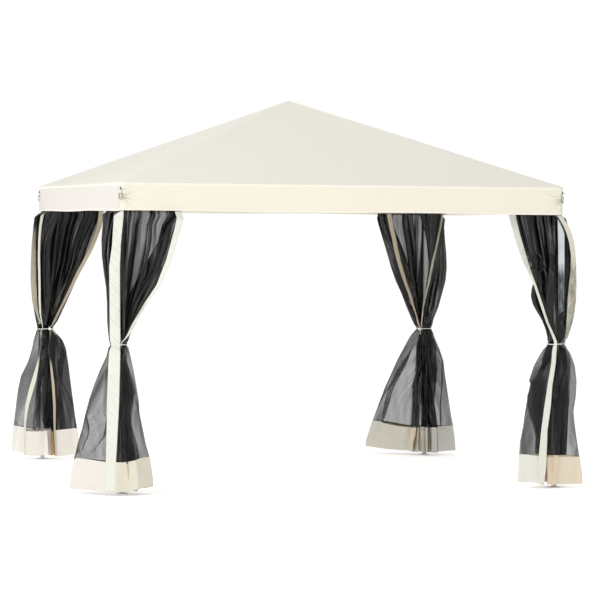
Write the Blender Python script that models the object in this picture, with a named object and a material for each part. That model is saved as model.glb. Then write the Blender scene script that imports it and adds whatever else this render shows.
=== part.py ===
# Pop-up canopy tent with a pyramid roof and four net curtains tied back at the legs.
# Metres, +Z up. The origin is on the ground at the middle of the tent, and the front faces -Y.
# Corner pieces are drawn once at the front left corner, side pieces once at the front,
# and each copy is turned about the tent's own axis by quarter turns. The curtains differ in drape.

import math

import bmesh
import bpy

CORNERS = ("front_left", "front_right", "back_right", "back_left")
SIDES = ("front", "right", "back", "left")

# Roof and valance
ROOF_HALF = 1.475
EAVE_Z = 1.965
APEX_Z = 2.558
VALANCE_LOW_Z = 1.787
CLOTH = 0.003
PEAK_HALF = 0.0015

# Legs
LEG_AT = 1.443
LEG_OUTER_HALF = 0.015
LEG_OUTER_WALL = 0.0015
LEG_OUTER_LOW_Z = 0.50
LEG_TOP_Z = 1.925
LEG_INNER_WALL = 0.0012
LEG_INNER_TOP_Z = 0.65
FOOT_HALF = 0.035
FOOT_THICK = 0.004
PEG_HOLE_RADIUS = 0.005
PEG_HOLE_AT = 0.024

# Folding frame above the legs
PIVOT_HIGH_Z = 1.942
PIVOT_LOW_Z = 1.815
PIVOT_FROM_LEG = 0.045
BAR_THICK = 0.010
BAR_HIGH = 0.020
BAR_PLANE = 0.0055
RIVET_RADIUS = 0.005
FORK_PLATE = 0.003
FORK_HIGH = 0.024
FORK_REACH = 0.060
HEAD_PLUG = 0.040
SLIDER_HALF = 0.020
SLIDER_HIGH = 0.030
MID_HALF_X = 0.028
MID_HALF_Y = 0.015
MID_HALF_Z = 0.013
HUB_RADIUS = 0.032
HUB_PIVOT = 0.048
POLE_RADIUS = 0.0125
POLE_LOW_Z = 1.790
CAP_RADIUS = 0.040
CAP_TIP_RADIUS = 0.006
CAP_EDGE = 0.012

# Net curtains, gathered round each leg
NET_TOP_Z = 1.7995
NET_BAND = 0.008
NET_BAND_DROP = 0.004
NET_BULGE = 0.050
NET_BULGE_SHARE = 0.25
NET_INNER_FOLD = 0.080
NET_FOLD_FROM = 0.3
NET_FOLD_FULL = 0.6
NET_LEG_FACE = 0.0125
ARM_SHARES = (0.90, 0.72, 0.50, 0.32, 0.17, 0.06)
ARM_EASE = 0.65
TIE_Z = 0.945
TIE_GROOVE = 0.008
TIE_RADIUS = 0.0025
TIE_SIDES = 8
WAIST_OUTER = 0.065
WAIST_INNER = 0.0222
OUTER_DIAGONAL = math.radians(225)
HALF_WRAP = math.radians(150)
WRAP_STEPS = 20
FLARE_SHARES = (0.06, 0.20, 0.45, 0.72, 1.0)
FLARE_EASE = 0.68
HOLLOW_EASE = 0.85
HOLLOW_SHARE = 0.62

# Cloth skirts below the nets
SKIRT_TOP_Z = 0.180
SKIRT_LOW_Z = 0.006
SKIRT_TOP_SHARE = 0.94

# Each curtain is gathered by hand in its own way. Seen from its corner as the front left one is drawn:
# how far its two arms run along the valances, and how far its hem reaches from the leg,
# outwards along X and Y, then inwards along X and Y.
DRAPES = {
    "front_left": ((0.400, 0.505), (0.275, 0.165, 0.205, 0.195)),
    "front_right": ((0.385, 0.340), (0.105, 0.190, 0.150, 0.225)),
    "back_right": ((0.320, 0.375), (0.275, 0.165, 0.400, 0.165)),
    "back_left": ((0.375, 0.400), (0.145, 0.210, 0.145, 0.270)),
}

GAP = 0.0003
ROUND_STEPS = 24
SMOOTH_ANGLE = math.radians(35)

for old in list(bpy.data.objects):
    bpy.data.objects.remove(old, do_unlink=True)


def finish(name, colour, roughness, metallic=0.0):
    material = bpy.data.materials.new(name)
    material.use_nodes = True
    shader = material.node_tree.nodes["Principled BSDF"]
    shader.inputs["Base Color"].default_value = (*colour, 1.0)
    shader.inputs["Roughness"].default_value = roughness
    shader.inputs["Metallic"].default_value = metallic
    material.diffuse_color = (*colour, 1.0)
    return material


STEEL = finish("white_powder_coat", (0.80, 0.80, 0.80), 0.45, 0.2)
CASTING = finish("white_nylon", (0.72, 0.72, 0.72), 0.55)
ROOF_CLOTH = finish("roof_polyester", (0.80, 0.78, 0.71), 0.80)
VALANCE_CLOTH = finish("valance_polyester", (0.90, 0.86, 0.74), 0.80)
NET = finish("black_net", (0.02, 0.02, 0.022), 0.70)
SKIRT_CLOTH = finish("skirt_polyester", (0.90, 0.86, 0.74), 0.80)
CORD = finish("white_cord", (0.88, 0.88, 0.86), 0.70)


# Shapes are closed shells in a bmesh, joined by a union where one piece needs several.


def loft(rings, closed=False):
    """Skin a row of rings that have the same number of points; closed joins last to first."""
    shell = bmesh.new()
    rows = [[shell.verts.new(point) for point in ring] for ring in rings]
    count = len(rows[0])
    pairs = list(zip(rows, rows[1:]))
    if closed:
        pairs.append((rows[-1], rows[0]))
    for low, high in pairs:
        for i in range(count):
            j = (i + 1) % count
            shell.faces.new((low[i], low[j], high[j], high[i]))
    if not closed:
        shell.faces.new(rows[0])
        shell.faces.new(rows[-1])
    bmesh.ops.recalc_face_normals(shell, faces=shell.faces)
    return shell


def square_turn(profile, centre, closed=False):
    """Square rings of (half width, height) about a vertical line at centre."""
    x, y = centre
    signs = ((-1, -1), (1, -1), (1, 1), (-1, 1))
    rings = [[(x + a * half, y + b * half, z) for a, b in signs] for half, z in profile]
    return loft(rings, closed)


def round_turn(profile, centre=(0.0, 0.0), closed=False):
    """Round rings of (radius, height) about a vertical line at centre."""
    rings = []
    for radius, z in profile:
        ring = []
        for i in range(ROUND_STEPS):
            angle = math.tau * i / ROUND_STEPS
            ring.append((centre[0] + radius * math.cos(angle), centre[1] + radius * math.sin(angle), z))
        rings.append(ring)
    return loft(rings, closed)


def block(low, high):
    x0, y0, z0 = low
    x1, y1, z1 = high
    plan = ((x0, y0), (x1, y0), (x1, y1), (x0, y1))
    return loft([[(x, y, z) for x, y in plan] for z in (z0, z1)])


def slanted_bar(start, end, plane, along):
    """A flat bar from start to end, each (distance along, height), in a plane of the other axis."""
    length = math.hypot(end[0] - start[0], end[1] - start[1])
    step = ((end[0] - start[0]) / length, (end[1] - start[1]) / length)
    rise = (-step[1] * BAR_HIGH / 2, step[0] * BAR_HIGH / 2)
    reach = (step[0] * BAR_HIGH / 2, step[1] * BAR_HIGH / 2)
    corners = (
        (start[0] - reach[0] - rise[0], start[1] - reach[1] - rise[1]),
        (end[0] + reach[0] - rise[0], end[1] + reach[1] - rise[1]),
        (end[0] + reach[0] + rise[0], end[1] + reach[1] + rise[1]),
        (start[0] - reach[0] + rise[0], start[1] - reach[1] + rise[1]),
    )
    rings = []
    for depth in (plane - BAR_THICK / 2, plane + BAR_THICK / 2):
        if along == "x":
            rings.append([(a, depth, z) for a, z in corners])
        else:
            rings.append([(depth, a, z) for a, z in corners])
    return loft(rings)


def rivet(at, height, plane, along):
    """A short round pin through both bars of a crossing."""
    rings = []
    for depth in (plane - BAR_PLANE, plane + BAR_PLANE):
        ring = []
        for i in range(ROUND_STEPS // 2):
            angle = math.tau * i / (ROUND_STEPS // 2)
            a = at + RIVET_RADIUS * math.cos(angle)
            z = height + RIVET_RADIUS * math.sin(angle)
            ring.append((a, depth, z) if along == "x" else (depth, a, z))
        rings.append(ring)
    return loft(rings)


def fork(start, end, plane, height, along):
    """Two cheeks that hold a bar's end between them."""
    cheeks = []
    inside = BAR_THICK / 2 + GAP
    for near, far in ((-inside - FORK_PLATE, -inside), (inside, inside + FORK_PLATE)):
        low_z = height - FORK_HIGH / 2
        high_z = height + FORK_HIGH / 2
        if along == "x":
            cheeks.append(block((start, plane + near, low_z), (end, plane + far, high_z)))
        else:
            cheeks.append(block((plane + near, start, low_z), (plane + far, end, high_z)))
    return cheeks


def mesh_of(name, shells):
    """One mesh from several shells; each shell is closed."""
    whole = bmesh.new()
    for shell in shells:
        part = bpy.data.meshes.new("shell")
        shell.to_mesh(part)
        shell.free()
        whole.from_mesh(part)
        bpy.data.meshes.remove(part)
    mesh = bpy.data.meshes.new(name)
    whole.to_mesh(mesh)
    whole.free()
    return mesh


def combined(name, base, others, operation="UNION"):
    """The base shell with the other shells joined to it, or cut from it, as one body."""
    body = bpy.data.objects.new("body", mesh_of("body", [base]))
    tool = bpy.data.objects.new("tool", mesh_of("tool", others))
    for guide in (body, tool):
        bpy.context.collection.objects.link(guide)
    boolean = body.modifiers.new("join", "BOOLEAN")
    boolean.operation = operation
    boolean.solver = "EXACT"
    boolean.use_self = True
    boolean.object = tool
    graph = bpy.context.evaluated_depsgraph_get()
    mesh = bpy.data.meshes.new_from_object(body.evaluated_get(graph))
    mesh.name = name
    for guide in (body, tool):
        bpy.data.objects.remove(guide, do_unlink=True)
    return mesh


def place(name, mesh, material, quarter_turns=0, smooth=False):
    """Put a mesh in the scene, turned about the tent's axis."""
    if not mesh.materials:
        mesh.materials.append(material)
    if smooth:
        mesh.shade_smooth()
        mesh.set_sharp_from_angle(angle=SMOOTH_ANGLE)
    piece = bpy.data.objects.new(name, mesh)
    piece.rotation_euler[2] = quarter_turns * math.pi / 2
    piece.parent = tent
    bpy.context.collection.objects.link(piece)
    return piece


tent = bpy.data.objects.new("tent", None)
bpy.context.collection.objects.link(tent)

leg_centre = (-LEG_AT, -LEG_AT)
valance_inner = ROOF_HALF - CLOTH
roof_slope = (APEX_Z - EAVE_Z) / (ROOF_HALF - PEAK_HALF)
roof_drop = CLOTH * math.hypot(1.0, roof_slope)
inner_eave_z = EAVE_Z - roof_drop + CLOTH * roof_slope
leg_hollow = LEG_OUTER_HALF - LEG_OUTER_WALL
bar_low = (-LEG_AT + PIVOT_FROM_LEG, PIVOT_LOW_Z)
bar_high = (-LEG_AT + PIVOT_FROM_LEG, PIVOT_HIGH_Z)
mid_pivot = MID_HALF_X - BAR_HIGH / 2


# Legs and their fittings


def outer_leg():
    half = LEG_OUTER_HALF
    profile = (
        (half, LEG_OUTER_LOW_Z),
        (half, LEG_TOP_Z),
        (leg_hollow, LEG_TOP_Z),
        (leg_hollow, LEG_OUTER_LOW_Z),
    )
    return mesh_of("leg_outer", [square_turn(profile, leg_centre, closed=True)])


def inner_leg():
    half = leg_hollow - GAP
    hollow = half - LEG_INNER_WALL
    profile = (
        (FOOT_HALF, 0.0),
        (FOOT_HALF, FOOT_THICK),
        (half, FOOT_THICK),
        (half, LEG_INNER_TOP_Z),
        (hollow, LEG_INNER_TOP_Z),
        (hollow, FOOT_THICK),
    )
    hole_at = (-LEG_AT + PEG_HOLE_AT, -LEG_AT + PEG_HOLE_AT)
    peg = round_turn(((PEG_HOLE_RADIUS, -FOOT_THICK), (PEG_HOLE_RADIUS, 2 * FOOT_THICK)), hole_at)
    return combined("leg_inner", square_turn(profile, leg_centre), [peg], "DIFFERENCE")


def corner_head():
    half = valance_inner - LEG_AT - GAP
    plug = leg_hollow - GAP
    low_z = LEG_TOP_Z + GAP
    profile = (
        (plug, LEG_TOP_Z - HEAD_PLUG),
        (plug, low_z),
        (half, low_z),
        (half, inner_eave_z - GAP),
    )
    body = square_turn(profile, leg_centre)
    start = -LEG_AT + half / 2
    end = -LEG_AT + FORK_REACH
    plane = -LEG_AT - BAR_PLANE
    cheeks = fork(start, end, plane, PIVOT_HIGH_Z, "x") + fork(start, end, plane, PIVOT_HIGH_Z, "y")
    return combined("corner_head", body, cheeks)


def corner_slider():
    hole = LEG_OUTER_HALF + GAP
    low_z = PIVOT_LOW_Z - SLIDER_HIGH / 2
    high_z = PIVOT_LOW_Z + SLIDER_HIGH / 2
    profile = ((SLIDER_HALF, low_z), (SLIDER_HALF, high_z), (hole, high_z), (hole, low_z))
    body = square_turn(profile, leg_centre, closed=True)
    start = -LEG_AT + (hole + SLIDER_HALF) / 2
    end = -LEG_AT + FORK_REACH
    plane = -LEG_AT + BAR_PLANE
    cheeks = fork(start, end, plane, PIVOT_LOW_Z, "x") + fork(start, end, plane, PIVOT_LOW_Z, "y")
    return combined("corner_slider", body, cheeks)


# Folding frame between the corners


def side_truss():
    """Two flat crossings, with the fittings at the middle of the side."""
    shells = []
    for hand in (-1, 1):
        outer_high = (hand * bar_high[0], PIVOT_HIGH_Z)
        outer_low = (hand * bar_low[0], PIVOT_LOW_Z)
        inner_high = (hand * -mid_pivot, PIVOT_HIGH_Z)
        inner_low = (hand * -mid_pivot, PIVOT_LOW_Z)
        shells.append(slanted_bar(outer_high, inner_low, -LEG_AT - BAR_PLANE, "x"))
        shells.append(slanted_bar(outer_low, inner_high, -LEG_AT + BAR_PLANE, "x"))
        middle = (outer_high[0] + inner_high[0]) / 2
        shells.append(rivet(middle, (PIVOT_HIGH_Z + PIVOT_LOW_Z) / 2, -LEG_AT, "x"))
    start = -LEG_AT + MID_HALF_Y / 2
    end = -LEG_AT + MID_HALF_Y + BAR_HIGH + FORK_PLATE
    for height, plane in ((PIVOT_HIGH_Z, BAR_PLANE), (PIVOT_LOW_Z, -BAR_PLANE)):
        shells += fork(start, end, plane, height, "y")
    blocks = []
    for height in (PIVOT_HIGH_Z, PIVOT_LOW_Z):
        low = (-MID_HALF_X, -LEG_AT - MID_HALF_Y, height - MID_HALF_Z)
        high = (MID_HALF_X, -LEG_AT + MID_HALF_Y, height + MID_HALF_Z)
        blocks.append(block(low, high))
    return combined("side_truss", blocks[0], blocks[1:] + shells)


def centre_arm():
    """One flat crossing from the middle of a side to the hubs round the centre pole."""
    side = -LEG_AT + MID_HALF_Y + BAR_HIGH / 2 + FORK_PLATE
    high_bar = slanted_bar((side, PIVOT_HIGH_Z), (-HUB_PIVOT, PIVOT_LOW_Z), BAR_PLANE, "y")
    low_bar = slanted_bar((side, PIVOT_LOW_Z), (-HUB_PIVOT, PIVOT_HIGH_Z), -BAR_PLANE, "y")
    pin = rivet((side - HUB_PIVOT) / 2, (PIVOT_HIGH_Z + PIVOT_LOW_Z) / 2, 0.0, "y")
    return combined("centre_arm", high_bar, [low_bar, pin])


def hub(height, plane):
    """A collar on the centre pole with a fork for each arm."""
    hole = POLE_RADIUS + GAP
    low_z = height - SLIDER_HIGH / 2
    high_z = height + SLIDER_HIGH / 2
    profile = ((HUB_RADIUS, low_z), (HUB_RADIUS, high_z), (hole, high_z), (hole, low_z))
    body = round_turn(profile, closed=True)
    near = (HUB_RADIUS + hole) / 2
    far = HUB_PIVOT + BAR_HIGH / 2
    cheeks = fork(-far, -near, plane, height, "y") + fork(near, far, -plane, height, "y")
    cheeks += fork(near, far, plane, height, "x") + fork(-far, -near, -plane, height, "x")
    return combined("hub", body, cheeks)


def centre_pole():
    top_z = APEX_Z - roof_drop - GAP
    profile = (
        (POLE_RADIUS, POLE_LOW_Z),
        (POLE_RADIUS, top_z - roof_slope * CAP_RADIUS - 2 * CAP_EDGE),
        (CAP_RADIUS, top_z - roof_slope * CAP_RADIUS - CAP_EDGE),
        (CAP_RADIUS, top_z - roof_slope * CAP_RADIUS),
        (CAP_TIP_RADIUS, top_z - roof_slope * CAP_TIP_RADIUS),
    )
    return mesh_of("centre_pole", [round_turn(profile)])


# Roof cloth, cut to a mitre at each corner


def mitred(name, profile):
    """A profile of (distance from the axis, height), run along the front between the mitres."""
    rings = []
    for hand in (-1, 1):
        rings.append([(hand * (out - GAP), -out, z) for out, z in profile])
    return mesh_of(name, [loft(rings)])


def roof_panel():
    profile = (
        (ROOF_HALF, inner_eave_z),
        (ROOF_HALF, EAVE_Z),
        (PEAK_HALF, APEX_Z),
        (PEAK_HALF, APEX_Z - roof_drop),
        (valance_inner, inner_eave_z),
    )
    return mitred("roof_panel", profile)


def valance():
    top_z = inner_eave_z - GAP
    profile = (
        (ROOF_HALF, VALANCE_LOW_Z),
        (ROOF_HALF, top_z),
        (valance_inner, top_z),
        (valance_inner, VALANCE_LOW_Z),
    )
    return mitred("valance", profile)


# Curtains. A section runs from one free edge round the outside of the leg to the other.
# Places are (along the front, along the left side), measured inwards from the valance's corner.

leg_in = valance_inner - LEG_AT


def wrap_share(step):
    """From -1 at one free edge to 1 at the other, 0 at the outer corner."""
    return 2.0 * step / WRAP_STEPS - 1.0


def oval_section(reach):
    """The section where the cloth runs round the leg, with its four reaches from the leg."""
    out_x, out_y, in_x, in_y = reach
    places = []
    for step in range(WRAP_STEPS + 1):
        angle = OUTER_DIAGONAL + wrap_share(step) * HALF_WRAP
        x = math.cos(angle)
        y = math.sin(angle)
        radius = 1.0 / math.hypot(x / (out_x if x < 0 else in_x), y / (out_y if y < 0 else in_y))
        places.append((leg_in + radius * x, leg_in + radius * y))
    return places


def round_section(radius):
    return oval_section((radius, radius, radius, radius))


def corner_section(arms, inset, fold=0.0):
    """The section where the cloth follows the two valances; fold deepens it away from the leg."""
    places = []
    for step in range(WRAP_STEPS + 1):
        share = wrap_share(step)
        ease = (abs(share) - NET_FOLD_FROM) / (NET_FOLD_FULL - NET_FOLD_FROM)
        ease = min(max(ease, 0.0), 1.0)
        depth = inset + fold * ease * ease * (3.0 - 2.0 * ease)
        along = max(abs(share) * arms[0 if share >= 0 else 1], inset)
        places.append((along, depth) if share >= 0 else (depth, along))
    return places


def mixed(first, second, share):
    return [
        (a[0] + (b[0] - a[0]) * share, a[1] + (b[1] - a[1]) * share) for a, b in zip(first, second)
    ]


def shell_ring(outer, inner, z):
    """A closed ring from an outer and an inner section, at the front left corner."""
    places = list(outer) + list(reversed(inner))
    return [(-valance_inner + u, -valance_inner + v, z) for u, v in places]


def flare_sections(reach, share):
    """Outer and inner section below the tie, from the waist (0) to the given reaches (1)."""
    outer = [WAIST_OUTER + (far - WAIST_OUTER) * share ** FLARE_EASE for far in reach]
    inner = [WAIST_INNER + (far * HOLLOW_SHARE - WAIST_INNER) * share ** HOLLOW_EASE for far in reach]
    return oval_section(outer), oval_section(inner)


def net_curtain(arms, skirt_reach):
    rings = []
    low_band_z = VALANCE_LOW_Z - NET_BAND_DROP
    for z in (NET_TOP_Z, low_band_z):
        inner = corner_section(arms, GAP + NET_BAND, NET_INNER_FOLD)
        rings.append(shell_ring(corner_section(arms, GAP), inner, z))
    waist_high = TIE_Z + TIE_GROOVE
    for share in ARM_SHARES:
        spread = share ** ARM_EASE
        bulge = NET_BULGE * min(1.0, (1.0 - share) / NET_BULGE_SHARE)
        outer = mixed(round_section(WAIST_OUTER), corner_section(arms, -bulge), spread)
        folded = corner_section(arms, NET_LEG_FACE, NET_INNER_FOLD)
        inner = mixed(round_section(WAIST_INNER), folded, spread)
        rings.append(shell_ring(outer, inner, waist_high + (low_band_z - waist_high) * share))
    waist_low = TIE_Z - TIE_GROOVE
    for z in (waist_high, waist_low):
        rings.append(shell_ring(round_section(WAIST_OUTER), round_section(WAIST_INNER), z))
    hem_reach = [far * SKIRT_TOP_SHARE for far in skirt_reach]
    for share in FLARE_SHARES:
        outer, inner = flare_sections(hem_reach, share)
        rings.append(shell_ring(outer, inner, waist_low + (SKIRT_TOP_Z + GAP - waist_low) * share))
    return mesh_of("net_curtain", [loft(rings)])


def skirt(reach):
    rings = []
    for share, z in ((SKIRT_TOP_SHARE, SKIRT_TOP_Z), (1.0, SKIRT_LOW_Z)):
        outer, inner = flare_sections([far * share for far in reach], 1.0)
        rings.append(shell_ring(outer, inner, z))
    return mesh_of("skirt", [loft(rings)])


def tie():
    """A cord round the gathered net; its inner side keeps a small gap to the net's waist."""
    middle = (WAIST_OUTER + GAP) / math.cos(math.pi / ROUND_STEPS) + TIE_RADIUS
    rings = []
    for step in range(ROUND_STEPS):
        angle = OUTER_DIAGONAL + math.tau * step / ROUND_STEPS
        ring = []
        for side in range(TIE_SIDES):
            turn = math.tau * side / TIE_SIDES
            radius = middle + TIE_RADIUS * math.cos(turn)
            x = -LEG_AT + radius * math.cos(angle)
            y = -LEG_AT + radius * math.sin(angle)
            ring.append((x, y, TIE_Z + TIE_RADIUS * math.sin(turn)))
        rings.append(ring)
    return mesh_of("tie", [loft(rings, closed=True)])


corner_pieces = (
    ("leg_outer", outer_leg(), STEEL, False),
    ("leg_inner", inner_leg(), STEEL, False),
    ("corner_head", corner_head(), CASTING, False),
    ("corner_slider", corner_slider(), CASTING, False),
    ("tie", tie(), CORD, True),
)
side_pieces = (
    ("truss", side_truss(), STEEL),
    ("centre_arm", centre_arm(), STEEL),
    ("roof_panel", roof_panel(), ROOF_CLOTH),
    ("valance", valance(), VALANCE_CLOTH),
)
for turns, corner in enumerate(CORNERS):
    for name, mesh, material, smooth in corner_pieces:
        place(f"{name}_{corner}", mesh, material, turns, smooth)
    arms, reach = DRAPES[corner]
    place(f"net_curtain_{corner}", net_curtain(arms, reach), NET, turns, True)
    place(f"skirt_{corner}", skirt(reach), SKIRT_CLOTH, turns, True)
for turns, side in enumerate(SIDES):
    for name, mesh, material in side_pieces:
        place(f"{name}_{side}", mesh, material, turns)
place("hub_upper", hub(PIVOT_HIGH_Z, -BAR_PLANE), CASTING)
place("hub_lower", hub(PIVOT_LOW_Z, BAR_PLANE), CASTING)
place("centre_pole", centre_pole(), STEEL, 0, True)
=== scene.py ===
import math

import bmesh
import bpy
import numpy as np
from mathutils import Matrix, Vector


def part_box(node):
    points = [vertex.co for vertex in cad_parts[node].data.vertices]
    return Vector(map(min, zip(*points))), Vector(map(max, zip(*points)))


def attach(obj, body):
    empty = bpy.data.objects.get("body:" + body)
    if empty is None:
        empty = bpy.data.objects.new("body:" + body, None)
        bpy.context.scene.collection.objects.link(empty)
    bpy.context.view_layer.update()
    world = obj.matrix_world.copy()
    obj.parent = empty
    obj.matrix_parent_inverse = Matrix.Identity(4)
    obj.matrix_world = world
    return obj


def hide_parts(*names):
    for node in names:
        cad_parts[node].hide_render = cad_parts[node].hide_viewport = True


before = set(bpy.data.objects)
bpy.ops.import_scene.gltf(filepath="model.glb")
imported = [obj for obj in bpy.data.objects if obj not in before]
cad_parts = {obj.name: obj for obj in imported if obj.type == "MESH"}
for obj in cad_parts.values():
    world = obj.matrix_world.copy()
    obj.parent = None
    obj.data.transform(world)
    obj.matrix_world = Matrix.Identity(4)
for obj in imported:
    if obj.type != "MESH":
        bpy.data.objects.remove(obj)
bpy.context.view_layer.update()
print("frame loaded")

cornerNames = ("front_left", "front_right", "back_right", "back_left")
cornerSigns = ((-1, -1), (1, -1), (1, 1), (-1, 1))  # outward along X and Y
sideNames = ("front", "right", "back", "left")

# Places read from the solids
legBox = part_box("leg_outer_front_right")
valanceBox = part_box("valance_front")
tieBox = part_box("tie_front_left")
legAt = (legBox[0][0] + legBox[1][0]) / 2
roofHalf = max(valanceBox[1][0], -valanceBox[0][1])
valanceLow = valanceBox[0][2]
eaveTop = valanceBox[1][2] + 0.0023  # the panels meet this far above the valance's solid
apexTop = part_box("roof_panel_front")[1][2]
tieZ = (tieBox[0][2] + tieBox[1][2]) / 2
slopeLength = math.hypot(roofHalf, apexTop - eaveTop)
valanceDrop = eaveTop - valanceLow
netFace = 0.0065  # from the roof's side to the valance's inner face


# Camera

cameraPlace = {
    "turn": math.radians(14.825),  # to the left of the tent's front
    "distance": 21.054,
    "aside": 0.0885,
    "height": 1.708,
    "pitch": math.radians(-1.409),
    "roll": math.radians(0.489),
    "lens": 183.5,
}

# Across to the right and away, in plan, as the photograph sees the tent
planRight = np.array([math.cos(cameraPlace["turn"]), -math.sin(cameraPlace["turn"])])
planAway = np.array([math.sin(cameraPlace["turn"]), math.cos(cameraPlace["turn"])])


def makeCamera(v):
    data = bpy.data.cameras.new("photoCamera")
    data.lens = v["lens"]
    data.sensor_width = 36.0
    data.clip_end = 200.0
    camera = bpy.data.objects.new("photoCamera", data)
    bpy.context.collection.objects.link(camera)
    sine, cosine = math.sin(v["turn"]), math.cos(v["turn"])
    x = -sine * v["distance"] + v["aside"] * cosine
    y = -cosine * v["distance"] - v["aside"] * sine
    level = math.cos(v["pitch"])
    forward = Vector((sine * level, cosine * level, math.sin(v["pitch"])))
    right = Vector((cosine, -sine, 0.0))
    up = right.cross(forward)
    rolledRight = right * math.cos(v["roll"]) + up * math.sin(v["roll"])
    rolledUp = up * math.cos(v["roll"]) - right * math.sin(v["roll"])
    turned = Matrix((rolledRight, rolledUp, -forward)).transposed().to_4x4()
    camera.matrix_world = Matrix.Translation((x, y, v["height"])) @ turned
    bpy.context.scene.camera = camera


makeCamera(cameraPlace)


# Mesh helpers


def smoothStep(low, high, x):
    t = np.clip((x - low) / (high - low), 0.0, 1.0)
    return t * t * (3.0 - 2.0 * t)


def addMap(mesh, name, uvs):  # one pair for each vertex
    layer = mesh.uv_layers.new(name=name)
    order = np.empty(len(mesh.loops), dtype=np.int64)
    mesh.loops.foreach_get("vertex_index", order)
    pairs = np.asarray(uvs).reshape(-1, 2).astype(np.float32)
    layer.data.foreach_set("uv", pairs[order].ravel())


def meshObject(name, places, faces, material, uvs=None):
    mesh = bpy.data.meshes.new(name)
    mesh.from_pydata([tuple(map(float, p)) for p in places], [], [tuple(map(int, f)) for f in faces])
    if uvs is not None:
        addMap(mesh, "cloth", uvs)
    mesh.shade_smooth()
    mesh.materials.append(material)
    mesh.update()
    piece = bpy.data.objects.new(name, mesh)
    bpy.context.collection.objects.link(piece)
    return piece


def gridFaces(rows, columns, wrap=False, start=0):
    r, c = np.meshgrid(np.arange(rows - 1), np.arange(columns if wrap else columns - 1), indexing="ij")
    a = r * columns + c
    b = r * columns + (c + 1) % columns
    return np.stack([a, b, b + columns, a + columns], axis=-1).reshape(-1, 4) + start


def gridObject(name, grid, material, uvs=None, wrap=False):
    rows, columns = grid.shape[:2]
    return meshObject(name, grid.reshape(-1, 3), gridFaces(rows, columns, wrap), material, uvs)


def gridNormals(grid):
    normal = np.cross(np.gradient(grid, axis=0), np.gradient(grid, axis=1))
    return normal / np.maximum(np.linalg.norm(normal, axis=2), 1e-9)[..., None]


def tubeParts(path, radius, sides=10, closed=False):
    # Places and faces of a round tube along a path, with one radius or one for each place
    path = np.asarray(path, dtype=float)
    count = len(path)
    ahead = np.roll(path, -1, axis=0) - np.roll(path, 1, axis=0)
    if not closed:
        ahead[0] = path[1] - path[0]
        ahead[-1] = path[-1] - path[-2]
    ahead /= np.linalg.norm(ahead, axis=1)[:, None]
    normal = np.cross(ahead[0], (0.3, 0.2, 1.0))
    normal /= np.linalg.norm(normal)
    radii = np.broadcast_to(radius, (count,))
    angles = [math.tau * k / sides for k in range(sides)]
    places = []
    for i in range(count):
        normal = normal - ahead[i] * np.dot(normal, ahead[i])
        normal /= np.linalg.norm(normal)
        other = np.cross(ahead[i], normal)
        places += [path[i] + radii[i] * (normal * math.cos(a) + other * math.sin(a)) for a in angles]
    faces = []
    for i in range(count if closed else count - 1):
        here, there = i * sides, (i + 1) % count * sides
        for k in range(sides):
            m = (k + 1) % sides
            faces.append([here + k, here + m, there + m, there + k])
    if not closed:
        faces.append(list(reversed(range(sides))))
        faces.append([(count - 1) * sides + k for k in range(sides)])
    return places, faces


def joined(name, parts, material):  # one object from several pairs of places and faces
    places, faces = [], []
    for partPlaces, partFaces in parts:
        base = len(places)
        places += [tuple(p) for p in partPlaces]
        faces += [[base + i for i in f] for f in partFaces]
    return meshObject(name, places, faces, material)


def closedBand(name, sides, uvs, material):  # a thin band between two grids, closed round its rim
    rows, columns = sides[0].shape[:2]
    count = rows * columns
    faces = [list(f) for f in gridFaces(rows, columns)]
    faces += [list(reversed(f)) for f in gridFaces(rows, columns, start=count)]
    rim = [(r, 0) for r in range(rows)] + [(rows - 1, c) for c in range(1, columns)]
    rim += [(r, columns - 1) for r in range(rows - 2, -1, -1)] + [(0, c) for c in range(columns - 2, 0, -1)]
    index = [r * columns + c for r, c in rim]
    for a, b in zip(index, index[1:] + index[:1]):
        faces.append([a, a + count, b + count, b])
    places = np.concatenate([side.reshape(-1, 3) for side in sides])
    piece = meshObject(name, places, faces, material, np.concatenate([uvs.reshape(-1, 2)] * 2))
    bm = bmesh.new()
    bm.from_mesh(piece.data)
    bmesh.ops.recalc_face_normals(bm, faces=bm.faces)
    bm.to_mesh(piece.data)
    bm.free()
    return piece


# Node helpers


def feed(tree, socket, value):  # links the socket, or sets its value
    if isinstance(value, bpy.types.NodeSocket):
        tree.links.new(value, socket)
    else:
        socket.default_value = (*value, 1.0) if socket.type == "RGBA" else value


def setInputs(node, **values):
    for label, value in values.items():
        node.inputs[label.replace("_", " ")].default_value = value


def mathNode(tree, operation, *values):
    node = tree.nodes.new("ShaderNodeMath")
    node.operation = operation
    for socket, value in zip(node.inputs, values):
        feed(tree, socket, value)
    return node.outputs[0]


def centred(tree, value):  # about -0.5 to 0.5
    return mathNode(tree, "SUBTRACT", value, 0.5)


def clampNode(tree, value, low, high):
    node = tree.nodes.new("ShaderNodeClamp")
    setInputs(node, Min=low, Max=high)
    tree.links.new(value, node.inputs[0])
    return node.outputs[0]


def rangeNode(tree, value, low, high, kind="LINEAR"):
    node = tree.nodes.new("ShaderNodeMapRange")
    node.interpolation_type = kind
    setInputs(node, From_Min=low, From_Max=high)
    tree.links.new(value, node.inputs["Value"])
    return node


def noiseNode(tree, vector, scale, detail=3.0, roughness=0.5):
    node = tree.nodes.new("ShaderNodeTexNoise")
    feed(tree, node.inputs["Scale"], scale)
    setInputs(node, Detail=detail, Roughness=roughness)
    tree.links.new(vector, node.inputs["Vector"])
    return node.outputs["Fac"]


def mapNode(tree, vector, scale=(1.0, 1.0), turn=0.0):
    node = tree.nodes.new("ShaderNodeMapping")
    setInputs(node, Scale=(*scale, 1.0), Rotation=(0.0, 0.0, turn))
    tree.links.new(vector, node.inputs["Vector"])
    return node.outputs[0]


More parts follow.
